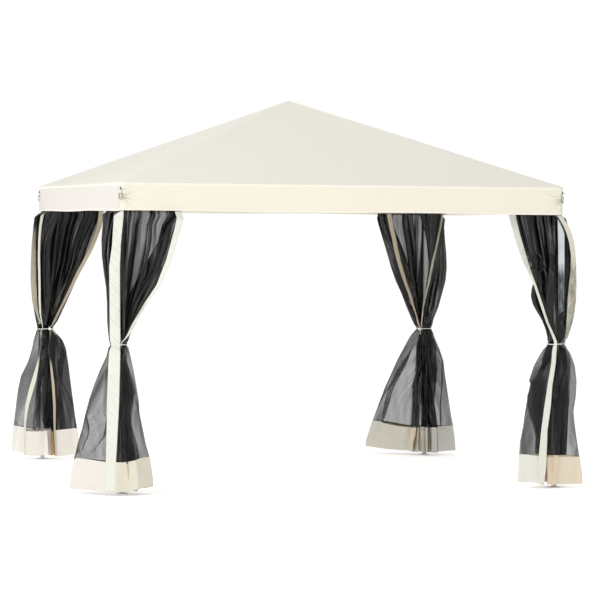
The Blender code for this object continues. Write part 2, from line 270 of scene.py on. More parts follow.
def bumpNode(tree, height, strength, distance, normal=None):
    node = tree.nodes.new("ShaderNodeBump")
    setInputs(node, Strength=strength, Distance=distance)
    tree.links.new(height, node.inputs["Height"])
    if normal is not None:
        tree.links.new(normal, node.inputs["Normal"])
    return node.outputs["Normal"]


def mixColours(tree, mask, first, second, blend="MIX"):
    node = tree.nodes.new("ShaderNodeMix")
    node.data_type = "RGBA"
    node.blend_type = blend
    tree.links.new(mask, node.inputs["Factor"])
    feed(tree, node.inputs["A"], first)
    feed(tree, node.inputs["B"], second)
    return node.outputs["Result"]


def readMap(tree, name="cloth"):  # the cloth's own lengths in metres: both, across it, down from its top
    pairs = tree.nodes.new("ShaderNodeUVMap")
    pairs.uv_map = name
    split = tree.nodes.new("ShaderNodeSeparateXYZ")
    tree.links.new(pairs.outputs["UV"], split.inputs[0])
    return pairs.outputs["UV"], split.outputs[0], split.outputs[1]


def newGroup(name, inputs, outputs):
    tree = bpy.data.node_groups.new(name, "ShaderNodeTree")
    for label, value in inputs.items():
        socket = tree.interface.new_socket(label, in_out="INPUT", socket_type="NodeSocketFloat")
        socket.default_value = value
    for label in outputs:
        tree.interface.new_socket(label, in_out="OUTPUT", socket_type="NodeSocketFloat")
    return tree, tree.nodes.new("NodeGroupInput").outputs, tree.nodes.new("NodeGroupOutput").inputs


def placeGroup(tree, group, **values):
    node = tree.nodes.new("ShaderNodeGroup")
    node.node_tree = group
    setInputs(node, **values)
    return node.outputs


def newMaterial(name):
    material = bpy.data.materials.new(name)
    material.use_nodes = True
    tree = material.node_tree
    return material, tree, tree.nodes["Principled BSDF"]


# Effects that several materials share

weaveValues = {
    "threads": 900.0,  # waves a metre times a full turn
    "unevenness": 0.3,
    "slubs": 140.0,
    "mottle": 2.3,
    "bump": (0.25, 0.0004),  # strength and distance
}
grainBump = (0.12, 0.0003)


def weaveGroup(v):  # plain weave: thread height, and soft patches of shade
    inputs = {"Threads": v["threads"], "Unevenness": v["unevenness"]}
    tree, source, sink = newGroup("plainWeave", inputs, ("Height", "Mottle"))
    lengths, across, down = readMap(tree)
    warp = mathNode(tree, "SINE", mathNode(tree, "MULTIPLY", across, source["Threads"]))
    weft = mathNode(tree, "SINE", mathNode(tree, "MULTIPLY", down, source["Threads"]))
    threads = mathNode(tree, "MULTIPLY", warp, weft)
    slub = noiseNode(tree, lengths, v["slubs"], 2.0)
    tree.links.new(mathNode(tree, "MULTIPLY_ADD", slub, source["Unevenness"], threads), sink["Height"])
    tree.links.new(noiseNode(tree, lengths, v["mottle"], 4.0, 0.6), sink["Mottle"])
    return tree


creaseValues = {"turn": math.radians(-38), "stretch": (7.0, 42.0), "strength": 0.9}


def creaseGroup(v):  # soft slanting creases
    tree, source, sink = newGroup("slantCreases", {"Fineness": 1.0}, ("Height",))
    turned = mapNode(tree, readMap(tree)[0], turn=v["turn"])
    stretched = mapNode(tree, turned, v["stretch"])
    tree.links.new(noiseNode(tree, stretched, source["Fineness"], 2.0, 0.4), sink["Height"])
    return tree


stitchValues = {"at": 0.0015, "half": 0.0009, "beat": 1400.0, "gap": -0.4}


def bandGroup(v):  # a sewn band across the cloth's length, with stitches along its upper edge
    tree, source, sink = newGroup("sewnBand", {"Start": 0.0, "Width": 0.015}, ("Band", "Stitch"))
    lengths, across, down = readMap(tree)
    into = mathNode(tree, "SUBTRACT", down, source["Start"])
    inside = mathNode(tree, "GREATER_THAN", into, 0.0)
    before = mathNode(tree, "LESS_THAN", into, source["Width"])
    tree.links.new(mathNode(tree, "MULTIPLY", inside, before), sink["Band"])
    off = mathNode(tree, "ABSOLUTE", mathNode(tree, "SUBTRACT", into, v["at"]))
    line = mathNode(tree, "LESS_THAN", off, v["half"])
    beat = mathNode(tree, "SINE", mathNode(tree, "MULTIPLY", across, v["beat"]))
    dash = mathNode(tree, "GREATER_THAN", beat, v["gap"])
    tree.links.new(mathNode(tree, "MULTIPLY", line, dash), sink["Stitch"])
    return tree


netValues = {
    "cells": 3000.0,
    "grain": 0.38,  # speckle and streaks in how much the threads cover
    "streaks": 0.45,
    "grainScale": 120.0,
    "streakScale": (26.0, 2.2),
    "calm": -0.8,  # power of the depth by which the speckle grows less
    "threadCover": -0.012,
    "gaps": (0.06, 0.97),  # least and most light that one width lets through
    "turnOver": 0.15,  # half the width in which the side's cover passes into the front's
    "black": (0.004, 0.004, 0.0045),
    # painted highlight: light grey streaks on the black net that stand in for gloss on its folds
    "paintedHighlight": (0.20, 0.20, 0.19),
    "paintedHighlightRange": (0.54, 0.74),
    "roughness": 0.42,
    "specular": 0.4,
}
depthScale = 8.0  # the drape map holds the depth divided by this
wallWidth = 1.45  # cut width of each half of a net


def netGroup(v):
    # How much of the light the net's threads stop; the drape map tells how many widths of net lie there
    inputs = {"Side Cover": 0.4, "Front Cover": 0.4, "Grain": 0.3, "Streaks": 0.4, "Cells": v["cells"]}
    tree, source, sink = newGroup("insectNet", inputs, ("Coverage", "Streak"))
    lengths, across, down = readMap(tree)
    warp = mathNode(tree, "SINE", mathNode(tree, "MULTIPLY", across, source["Cells"]))
    weft = mathNode(tree, "SINE", mathNode(tree, "MULTIPLY", down, source["Cells"]))
    threads = mathNode(tree, "MAXIMUM", warp, weft)
    streak = noiseNode(tree, mapNode(tree, lengths, v["streakScale"]), 1.0, 4.0, 0.6)
    depth = mathNode(tree, "MULTIPLY", readMap(tree, "drape")[1], depthScale)
    grain = noiseNode(tree, lengths, v["grainScale"], 3.0, 0.7)
    speckle = mathNode(tree, "MULTIPLY", centred(tree, grain), source["Grain"])
    speckle = mathNode(tree, "MULTIPLY", speckle, mathNode(tree, "POWER", depth, v["calm"]))
    bands = mathNode(tree, "MULTIPLY", centred(tree, streak), source["Streaks"])
    halves = rangeNode(tree, across, wallWidth - v["turnOver"], wallWidth + v["turnOver"])
    tree.links.new(source["Side Cover"], halves.inputs["To Min"])
    tree.links.new(source["Front Cover"], halves.inputs["To Max"])
    gaps = mathNode(tree, "SUBTRACT", 1.0, halves.outputs["Result"])
    gaps = mathNode(tree, "ADD", gaps, mathNode(tree, "ADD", speckle, bands))
    gaps = mathNode(tree, "MULTIPLY_ADD", threads, v["threadCover"], gaps)
    left = mathNode(tree, "POWER", clampNode(tree, gaps, *v["gaps"]), depth)
    tree.links.new(mathNode(tree, "SUBTRACT", 1.0, left), sink["Coverage"])
    tree.links.new(streak, sink["Streak"])
    return tree


veilValues = {
    "patchScale": (46.0, 11.0),
    "grainScale": 150.0,
    "wander": 0.10,  # of the veil's ends
    "sharpness": 14.0,
    "patches": 1.3,
    "grain": 0.9,
    "most": 0.96,
    "shade": (0.012, 0.012, 0.012),
}


def veilGroup(v):  # where folds of net lie over a band, between two of its lengths
    inputs = {"Start": 0.0, "End": 9.0, "Cover": 0.5}
    tree, source, sink = newGroup("netVeil", inputs, ("Mask",))
    lengths, across, down = readMap(tree)
    patch = noiseNode(tree, mapNode(tree, lengths, v["patchScale"]), 1.0, 3.0, 0.6)
    grain = noiseNode(tree, lengths, v["grainScale"], 2.0, 0.6)
    along = mathNode(tree, "ADD", down, mathNode(tree, "MULTIPLY", centred(tree, patch), v["wander"]))
    since = mathNode(tree, "SUBTRACT", along, source["Start"])
    until = mathNode(tree, "SUBTRACT", source["End"], along)
    since, until = (mathNode(tree, "MULTIPLY", way, v["sharpness"]) for way in (since, until))
    inside = clampNode(tree, mathNode(tree, "MINIMUM", since, until), 0.0, 1.0)
    uneven = mathNode(tree, "MULTIPLY_ADD", centred(tree, patch), v["patches"], source["Cover"])
    uneven = mathNode(tree, "MULTIPLY_ADD", centred(tree, grain), v["grain"], uneven)
    cover = clampNode(tree, uneven, 0.0, v["most"])
    tree.links.new(mathNode(tree, "MULTIPLY", inside, cover), sink["Mask"])
    return tree


def grainGroup():  # fine moulded or sprayed grain in the object's own space
    tree, source, sink = newGroup("fineGrain", {"Scale": 400.0, "Wear Scale": 30.0}, ("Height", "Wear"))
    place = tree.nodes.new("ShaderNodeTexCoord").outputs["Object"]
    tree.links.new(noiseNode(tree, place, source["Scale"], 2.0), sink["Height"])
    tree.links.new(noiseNode(tree, place, source["Wear Scale"], 5.0, 0.65), sink["Wear"])
    return tree


plainWeave = weaveGroup(weaveValues)
slantCreases = creaseGroup(creaseValues)
sewnBand = bandGroup(stitchValues)
insectNet = netGroup(netValues)
netVeil = veilGroup(veilValues)
fineGrain = grainGroup()


# Materials


def clothNormal(tree, height, creaseDepth=0.0, fineness=1.0):
    normal = bumpNode(tree, height, *weaveValues["bump"])
    if creaseDepth:
        creases = placeGroup(tree, slantCreases, Fineness=fineness)
        normal = bumpNode(tree, creases["Height"], creaseValues["strength"], creaseDepth, normal)
    return normal


def clothMaterial(name, light, dark, threads, creaseDepth=0.0, veil=None):
    material, tree, shader = newMaterial(name)
    weave = placeGroup(tree, plainWeave, Threads=threads)
    colour = mixColours(tree, weave["Mottle"], dark, light)
    if veil:
        over = placeGroup(tree, netVeil, Start=veil[0], End=veil[1], Cover=veil[2])
        colour = mixColours(tree, over["Mask"], colour, veilValues["shade"])
    tree.links.new(colour, shader.inputs["Base Color"])
    tree.links.new(clothNormal(tree, weave["Height"], creaseDepth), shader.inputs["Normal"])
    setInputs(shader, Roughness=0.85, Sheen_Weight=0.15, Sheen_Roughness=0.5, Specular_IOR_Level=0.25)
    return material


skirtValues = {"threads": 900.0, "mottle": (0.88, 0.86, 0.80), "creaseDepth": 0.012, "fineness": 0.35}


def skirtMaterial(name, paintedShade, v):  # side half and front half, outer and inner face, each in its own colour: the cream cloth with painted shade
    material, tree, shader = newMaterial(name)
    weave = placeGroup(tree, plainWeave, Threads=v["threads"])
    isFront = mathNode(tree, "GREATER_THAN", readMap(tree)[1], wallWidth)
    # painted shade: darker, greyer and tan copies of the cream cloth where it stands in shade, the inner face
    # in the warm tan of shade
    isInner = tree.nodes.new("ShaderNodeNewGeometry").outputs["Backfacing"]
    outer = mixColours(tree, isFront, paintedShade["sideOut"], paintedShade["frontOut"])
    inner = mixColours(tree, isFront, paintedShade["sideIn"], paintedShade["frontIn"])
    colour = mixColours(tree, isInner, outer, inner)
    colour = mixColours(tree, weave["Mottle"], colour, v["mottle"], "MULTIPLY")
    tree.links.new(colour, shader.inputs["Base Color"])
    normal = clothNormal(tree, weave["Height"], v["creaseDepth"], v["fineness"])
    tree.links.new(normal, shader.inputs["Normal"])
    setInputs(shader, Roughness=0.85, Sheen_Weight=0.12, Specular_IOR_Level=0.25)
    return material


def roofMaterial(name, v):  # slope and valance in their own shades, the left and right valances in a darker painted shade, with lighter sewn bands
    material, tree, shader = newMaterial(name)
    weave = placeGroup(tree, plainWeave, Threads=v["threads"])
    lengths, across, down = readMap(tree)
    seams = placeGroup(tree, sewnBand, Start=slopeLength, Width=v["seamBand"])
    hemStart = slopeLength + eaveTop - valanceLow - v["hemUp"]
    hem = placeGroup(tree, sewnBand, Start=hemStart, Width=v["hemBand"])
    slope = mixColours(tree, weave["Mottle"], v["slopeDark"], v["slopeLight"])
    valance = mixColours(tree, weave["Mottle"], v["valanceDark"], v["valanceLight"])
    # painted shade: the left and right valances take a darker copy of the valance cloth
    isShadedSide = mathNode(tree, "GREATER_THAN", mathNode(tree, "PINGPONG", across, 4.0), 2.0)
    valance = mixColours(tree, isShadedSide, valance, v["valanceSidePaintedShade"])
    below = mathNode(tree, "GREATER_THAN", down, slopeLength)
    colour = mixColours(tree, below, slope, valance)
    bands = mathNode(tree, "MAXIMUM", seams["Band"], hem["Band"])
    colour = mixColours(tree, mathNode(tree, "MULTIPLY", bands, v["bandShare"]), colour, v["band"])
    stitches = mathNode(tree, "MAXIMUM", seams["Stitch"], hem["Stitch"])
    colour = mixColours(tree, mathNode(tree, "MULTIPLY", stitches, v["stitchShare"]), colour, v["stitch"])
    height = mathNode(tree, "MULTIPLY_ADD", stitches, v["stitchDepth"], weave["Height"])
    tree.links.new(colour, shader.inputs["Base Color"])
    tree.links.new(clothNormal(tree, height), shader.inputs["Normal"])
    setInputs(shader, Roughness=0.8, Sheen_Weight=0.1, Specular_IOR_Level=0.25)
    return material


def netMaterial(name, cover, v):  # cover: how much one width stops, of the side half and the front half
    material, tree, shader = newMaterial(name)
    net = placeGroup(
        tree, insectNet, Side_Cover=cover[0], Front_Cover=cover[1], Grain=v["grain"], Streaks=v["streaks"]
    )
    # painted highlight: streaks of the noise lighten the black threads, standing in for gloss on the folds
    paintedHighlight = rangeNode(tree, net["Streak"], *v["paintedHighlightRange"], "SMOOTHSTEP").outputs["Result"]
    tree.links.new(mixColours(tree, paintedHighlight, v["black"], v["paintedHighlight"]), shader.inputs["Base Color"])
    tree.links.new(net["Coverage"], shader.inputs["Alpha"])
    setInputs(shader, Roughness=v["roughness"], Specular_IOR_Level=v["specular"])
    return material


def hardMaterial(name, light, dark, roughness, metallic=0.0, grain=400.0, coat=0.0):
    material, tree, shader = newMaterial(name)
    worn = placeGroup(tree, fineGrain, Scale=grain)
    tree.links.new(mixColours(tree, worn["Wear"], dark, light), shader.inputs["Base Color"])
    tree.links.new(bumpNode(tree, worn["Height"], *grainBump), shader.inputs["Normal"])
    setInputs(shader, Roughness=roughness, Metallic=metallic, Coat_Weight=coat)
    return material


roofShades = {
    "slopeLight": (0.865, 0.84, 0.755),
    "slopeDark": (0.845, 0.815, 0.73),
    "valanceLight": (0.86, 0.815, 0.685),
    "valanceDark": (0.84, 0.795, 0.66),
    "valanceSidePaintedShade": (0.735, 0.70, 0.645),  # left and right valances: painted shade, a darker copy of the valance cloth, as the photograph shows them in shade
    "band": (0.90, 0.865, 0.76),
    "stitch": (0.62, 0.58, 0.50),
    "threads": 1100.0,
    "seamBand": 0.016,
    "hemBand": 0.014,
    "hemUp": 0.0135,  # from the valance's lower edge to the band's upper edge
    "bandShare": 0.75,
    "stitchShare": 0.5,
    "stitchDepth": -2.0,
}
roofCloth = roofMaterial("creamRoofCloth", roofShades)

# Strips and tapes: light and dark shade, threads, depth of creases, and start, end and cover of a veil of net
bandShades = {
    "creamStrip": ((0.78, 0.775, 0.705), (0.69, 0.68, 0.60), 900.0, 0.0144),
    # painted shade: a grey-blue copy of the cream corner strip, as it looks in shade
    "creamStripPaintedShade": ((0.66, 0.68, 0.70), (0.60, 0.62, 0.64), 900.0, 0.0036, (0.33, 9.0, 0.82)),
    "oliveStrip": ((0.50, 0.48, 0.39), (0.36, 0.34, 0.25), 900.0, 0.0096, (-1.0, 0.17, 1.0)),
    "paleTape": ((0.80, 0.79, 0.71), (0.70, 0.69, 0.60), 1600.0, 0.0072),
    "tanTape": ((0.52, 0.46, 0.35), (0.38, 0.33, 0.24), 1600.0, 0.0042),
    "paleTapeVeiledLow": ((0.72, 0.70, 0.58), (0.62, 0.59, 0.46), 1600.0, 0.0072, (0.29, 9.0, 0.46)),
    "paleTapeVeiled": ((0.66, 0.62, 0.50), (0.54, 0.50, 0.38), 1600.0, 0.006, (-1.0, 9.0, 0.42)),
    "paleTapeVeiledMiddle": ((0.80, 0.79, 0.69), (0.68, 0.66, 0.55), 1600.0, 0.0072, (0.86, 1.12, 0.85)),
    "tanTapeVeiledMiddle": ((0.52, 0.46, 0.35), (0.38, 0.33, 0.24), 1600.0, 0.0042, (0.85, 1.14, 1.2)),
    "blackTape": ((0.020, 0.020, 0.022), (0.012, 0.012, 0.013), 1600.0),
}
bandCloths = {name: clothMaterial(name, *values) for name, values in bandShades.items()}
powderCoat = hardMaterial("whitePowderCoat", (0.82, 0.83, 0.84), (0.76, 0.77, 0.78), 0.38, 0.0, 900.0, 0.2)
whiteNylon = hardMaterial("whiteNylon", (0.78, 0.78, 0.77), (0.72, 0.72, 0.71), 0.55)
whiteCord = clothMaterial("whiteCord", (0.92, 0.92, 0.90), (0.84, 0.84, 0.82), 2500.0)
zincSteel = hardMaterial("zincSteel", (0.36, 0.35, 0.33), (0.22, 0.21, 0.20), 0.32, 0.9)
whiteFloor = hardMaterial("whiteFloor", (0.90, 0.90, 0.90), (0.885, 0.885, 0.885), 0.9, 0.0, 60.0)
floorShader = whiteFloor.node_tree.nodes["Principled BSDF"]
setInputs(floorShader, Emission_Color=(1.0, 1.0, 1.0, 1.0), Emission_Strength=0.40)
print("materials made")


# Roof: one sewn sheet from the peak over the eaves to the valance's hem

roofValues = {
    "steps": 84,  # along one side
    "slopeRows": 60,
    "valanceRows": 80,
    "cornerRound": 0.010,
    "crowding": 0.35,  # how much closer the columns stand near the corners
    "proud": 0.0010,  # of the solids
    "sag": 0.009,
    "fan": (0.012, 17, 0.22),  # lines drawn by the corners: height, rate, reach
    "roll": 0.0016,
    "hip": (0.0022, 0.010),  # seam along each hip: height and width
    "eaveSeam": (0.0016, 0.004),
    "hemFold": (0.0012, 0.013),
    "wave": 0.0045,  # of the valance's loose hem
    "waveEnd": 0.25,  # the hem hangs still this near to a corner, and the whole valance this near
    "stillEnd": 0.012,
    "bow": 0.0025,
    "ringHeight": 0.092,  # below the eaves, where the creases meet
    "crease": (0.0090, 15.0, 0.11, 0.02),  # height, rate, reach, and the calm about the ring
    "tuck": (0.0060, 0.040, 0.0035, 0.14),  # a fold beside the corner: depth, drop, width, reach
}


def cornered(half, across, radius):  # along and out of one side of a square with rounded corners
    x = across * half
    away = half - np.abs(x)
    angle = np.clip(1 - away / radius, 0, 1) * math.pi / 4
    near = away < radius
    along = np.where(near, np.sign(x) * (half - radius + radius * np.sin(angle)), x)
    out = np.where(near, half - radius + radius * np.cos(angle), half)
    return along, out


def slopeShape(side, across, share, v):  # height above the straight panel
    inward = 1 - np.abs(across)
    sag = -v["sag"] * math.sin(math.pi * share) * (1 - np.abs(across) ** 2.5)
    height, rate, reach = v["fan"]
    fan = np.sin(rate * across + 1.3 * side) * np.exp(-(inward / reach)) * share ** 3 * (1 - share) * height
    roll = v["roll"] * np.sin(3.1 * across + 7.0 * share + 2.1 * side) * math.sin(math.pi * share)
    hip = v["hip"][0] * np.exp(-(inward * share * roofHalf / v["hip"][1]) ** 2)
    return sag + fan + roll + hip


def valanceShape(side, x, down, v):  # distance out of the flat valance
    loose = np.clip((roofHalf - np.abs(x)) / v["waveEnd"], 0, 1)
    out = v["wave"] * down ** 1.5 * np.sin(4.3 * x + 2.2 * side) * loose
    out = out + 0.3 * v["wave"] * down * np.sin(13.0 * x + 1.1 * side)
    height, rate, fade, calm = v["crease"]
    depth, drop, width, length = v["tuck"]
    for end in (-1, 1):
        dx = np.maximum(roofHalf - end * x, 1e-4)
        dz = v["ringHeight"] - down * valanceDrop
        angle = np.arctan2(dz, dx)
        reach = np.hypot(dx, dz)
        fan = np.cos(rate * angle + 1.7 * side + end) * np.exp(-reach / fade) * np.clip(reach / calm, 0, 1)
        tuck = np.exp(-((down * valanceDrop - drop - 0.04 * dx) / width) ** 2) * np.exp(-dx / length)
        out = out + height * fan - depth * tuck
    return out


def roofRows(v):  # each row's kind, its share of the slope or valance, and its length from the peak
    rows = []
    for i in range(v["slopeRows"]):
        share = max(i / v["slopeRows"], 0.0015)
        rows.append(("slope", share, slopeLength * share))
    for i in range(v["valanceRows"] + 1):
        down = i / v["valanceRows"]
        rows.append(("valance", down, slopeLength + valanceDrop * down))
    return rows


def makeRoof(v):
    steps = v["steps"]
    even = np.linspace(-1, 1, steps + 1)
    across = np.sin(even * math.pi / 2) * v["crowding"] + even * (1 - v["crowding"])
    rows = roofRows(v)
    grid = np.zeros((len(rows), 4 * steps, 3))
    uvs = np.zeros((len(rows), 4, steps + 1, 2))
    for r, (kind, share, length) in enumerate(rows):
        for side in range(4):
            if kind == "slope":
                half = roofHalf * share
                x, out = cornered(half, across, min(v["cornerRound"] * share, half * 0.4))
                z = apexTop - (apexTop - eaveTop) * share + slopeShape(side, across, share, v)
            else:
                down = share * valanceDrop
                x, out = cornered(roofHalf, across, v["cornerRound"])
                hem = v["hemFold"][0] if down > valanceDrop - v["hemFold"][1] else 0.0
                corner = np.clip((roofHalf - np.abs(x)) / v["stillEnd"], 0, 1)
                seam = v["eaveSeam"][0] * math.exp(-(down / v["eaveSeam"][1]) ** 2)
                out = out + (valanceShape(side, x, share, v) + hem) * corner + seam
                z = eaveTop - down + v["bow"] * np.sin(3.7 * x + 1.9 * side) * share
            turn = side * math.pi / 2
            columns = slice(side * steps, (side + 1) * steps)
            grid[r, columns, 0] = (x * math.cos(turn) + out * math.sin(turn))[:-1]
            grid[r, columns, 1] = (x * math.sin(turn) - out * math.cos(turn))[:-1]
            grid[r, columns, 2] = z[:-1]
            uvs[r, side, :, 0] = across * (roofHalf * share if kind == "slope" else roofHalf) + 4 * side
            uvs[r, side, :, 1] = length
    grid[..., 2] += v["proud"]
    return roofSheet(grid, uvs, steps)


def roofSheet(grid, uvs, steps):
    roof = gridObject("roofSheet", grid, roofCloth, wrap=True)
    layer = roof.data.uv_layers.new(name="cloth")
    for face in roof.data.polygons:
        r, c = divmod(face.index, 4 * steps)
        side, k = divmod(c, steps)
        corners = (uvs[r, side, k], uvs[r, side, k + 1], uvs[r + 1, side, k + 1], uvs[r + 1, side, k])
        for loop, uv in zip(face.loop_indices, corners):
            layer.data[loop].uv = uv
    roof.data.flip_normals()
    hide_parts(*[f"roof_panel_{s}" for s in sideNames], *[f"valance_{s}" for s in sideNames])
    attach(roof, "root")
    side = 2 * roofHalf
    return roof


makeRoof(roofValues)
print("roof made")


# Curtains: each corner's cloth is laid out level by level and folded until its length fits

curtainValues = {
    "wall": wallWidth,
    "columns": 560,
    "upperLevels": 96,
    "lowerLevels": 130,
    "netRows": 116,
    "skirtRows": 14,
    "skirt": 0.175,
    "lap": 0.012,  # of the skirt over the net
    "skirtLift": 0.0007,
    "topZ": 1.7965,
    "hemZ": 0.024,
    "strip": 0.036,  # half the corner strip's width
    "binding": 0.0013,  # half the thickness of the bands sewn round the net
    "bandOver": 0.0005,  # of the strip's binding past its strip
    "bandShort": 0.002,  # of the bands at the hem
    "outerShare": 0.4,  # of binding, from the net to the back of a band on the outer side only
    "rippleRates": ((55, 34), (40, 9)),  # two waves: across and down
    "legClear": 0.0238,
    # Lower part: its spread at the tie as a share of the hem's, and how that grows
    "waist": 0.17,
    "flare": 0.74,
    "dartRise": 0.0022,  # how far narrow folds stand out of the cloth
    # Upper part: from the ring in the tie to the two walls behind the valance
    "blend": 0.06,  # each way from the tie, where the two parts pass into each other
    "arms": 0.12,  # the walls' reach at the tie, as a share of their reach at the top
    "tieTurn": math.radians(150),  # how far round the tie each half of the cloth goes
    "ringIn": 0.010,  # of the cloth's own ring within the tie's
    "stripMost": 0.40,  # most that the corner strip takes of a wall's reach
    "cornerSoft": 0.10,  # rounding of the corner between the two walls
    "wallPlane": -0.024,  # inner face of the valance, from the leg's axis
    "inset": 0.030,  # of the cloth behind the valance, away from the corner
    "swell": 0.62,  # power of the height that puts a wall's belly low or high
    "tuckRise": 0.009,
    # Folds
    "wideFolds": (0.52, 0.37, 0.27),  # cloth in one wide fold and in one fine pleat
    "finePleats": (0.145, 0.110, 0.082),
    "hang": (0.34, 0.22, 0.30),  # share of the cloth they leave at the tie, more above it, over what height
    "uneven": (0.16, 2.2, 1.2),  # of that share: how much, and how fast across and down
    "pleatShare": 0.97,
    "foldMean": (0.42, 0.13),  # cloth over which a line's own run is taken, for each kind
    "room": (0.011, 0.10, 0.35),  # how far folds stand aside at the tie, more off it, over what height
    "calm": (0.06, 0.03, 0.09, 0.2),  # beside the strip; from and to beside the edges, and what is left there
    # Places in the photograph
    "front": 0.005,  # how far strips and edges lie before the folds behind them
    "beside": (0.012, 0.004),  # folds count from this far in the cloth, and up to this far aside in the view
    "steepest": 0.5,  # how fast that way forward may change with height
    "steepAbove": 0.10,  # that limit holds from this far above the tie
    "frontReach": 0.035,  # how far into the cloth beside them that goes
    "fade": (0.05, 0.06),  # below the lowest height, where that way forward and a track end
    "trackReach": (0.13, 0.04),  # how far into the cloth a track pulls, and how far it is held
    "stretch": (0.6, 1.8),  # least and most that a row is drawn in or out
    # What holds the cloth in
    "lean": 0.5,  # how fast the folds may leave the valance plane below its hem
    "leanSoft": 0.015,
    "release": 3.0,  # how steeply the valance stops holding the cloth in below its hem
    "behind": (0.005, 0.02),  # how far the cloth lies behind strips and edges, and over what width
    "loosen": (0.10, 0.30),  # away from the tie, where it stops holding the cloth
    # Depth: how many widths of net the cloth stands for
    "dense": 2.1,  # fine gathers of the upper part, too small to draw
    "denseUneven": (0.45, 1.6, 1.1),
    "denseEdge": (-0.06, 0.10),  # from and to beside the strip and the edges
    "denseRise": (-0.03, 0.2),  # from and to above the tie
    "mostDepth": 5.0,
    "mostGathered": 3.0,
    "leastFacing": 0.3,
}

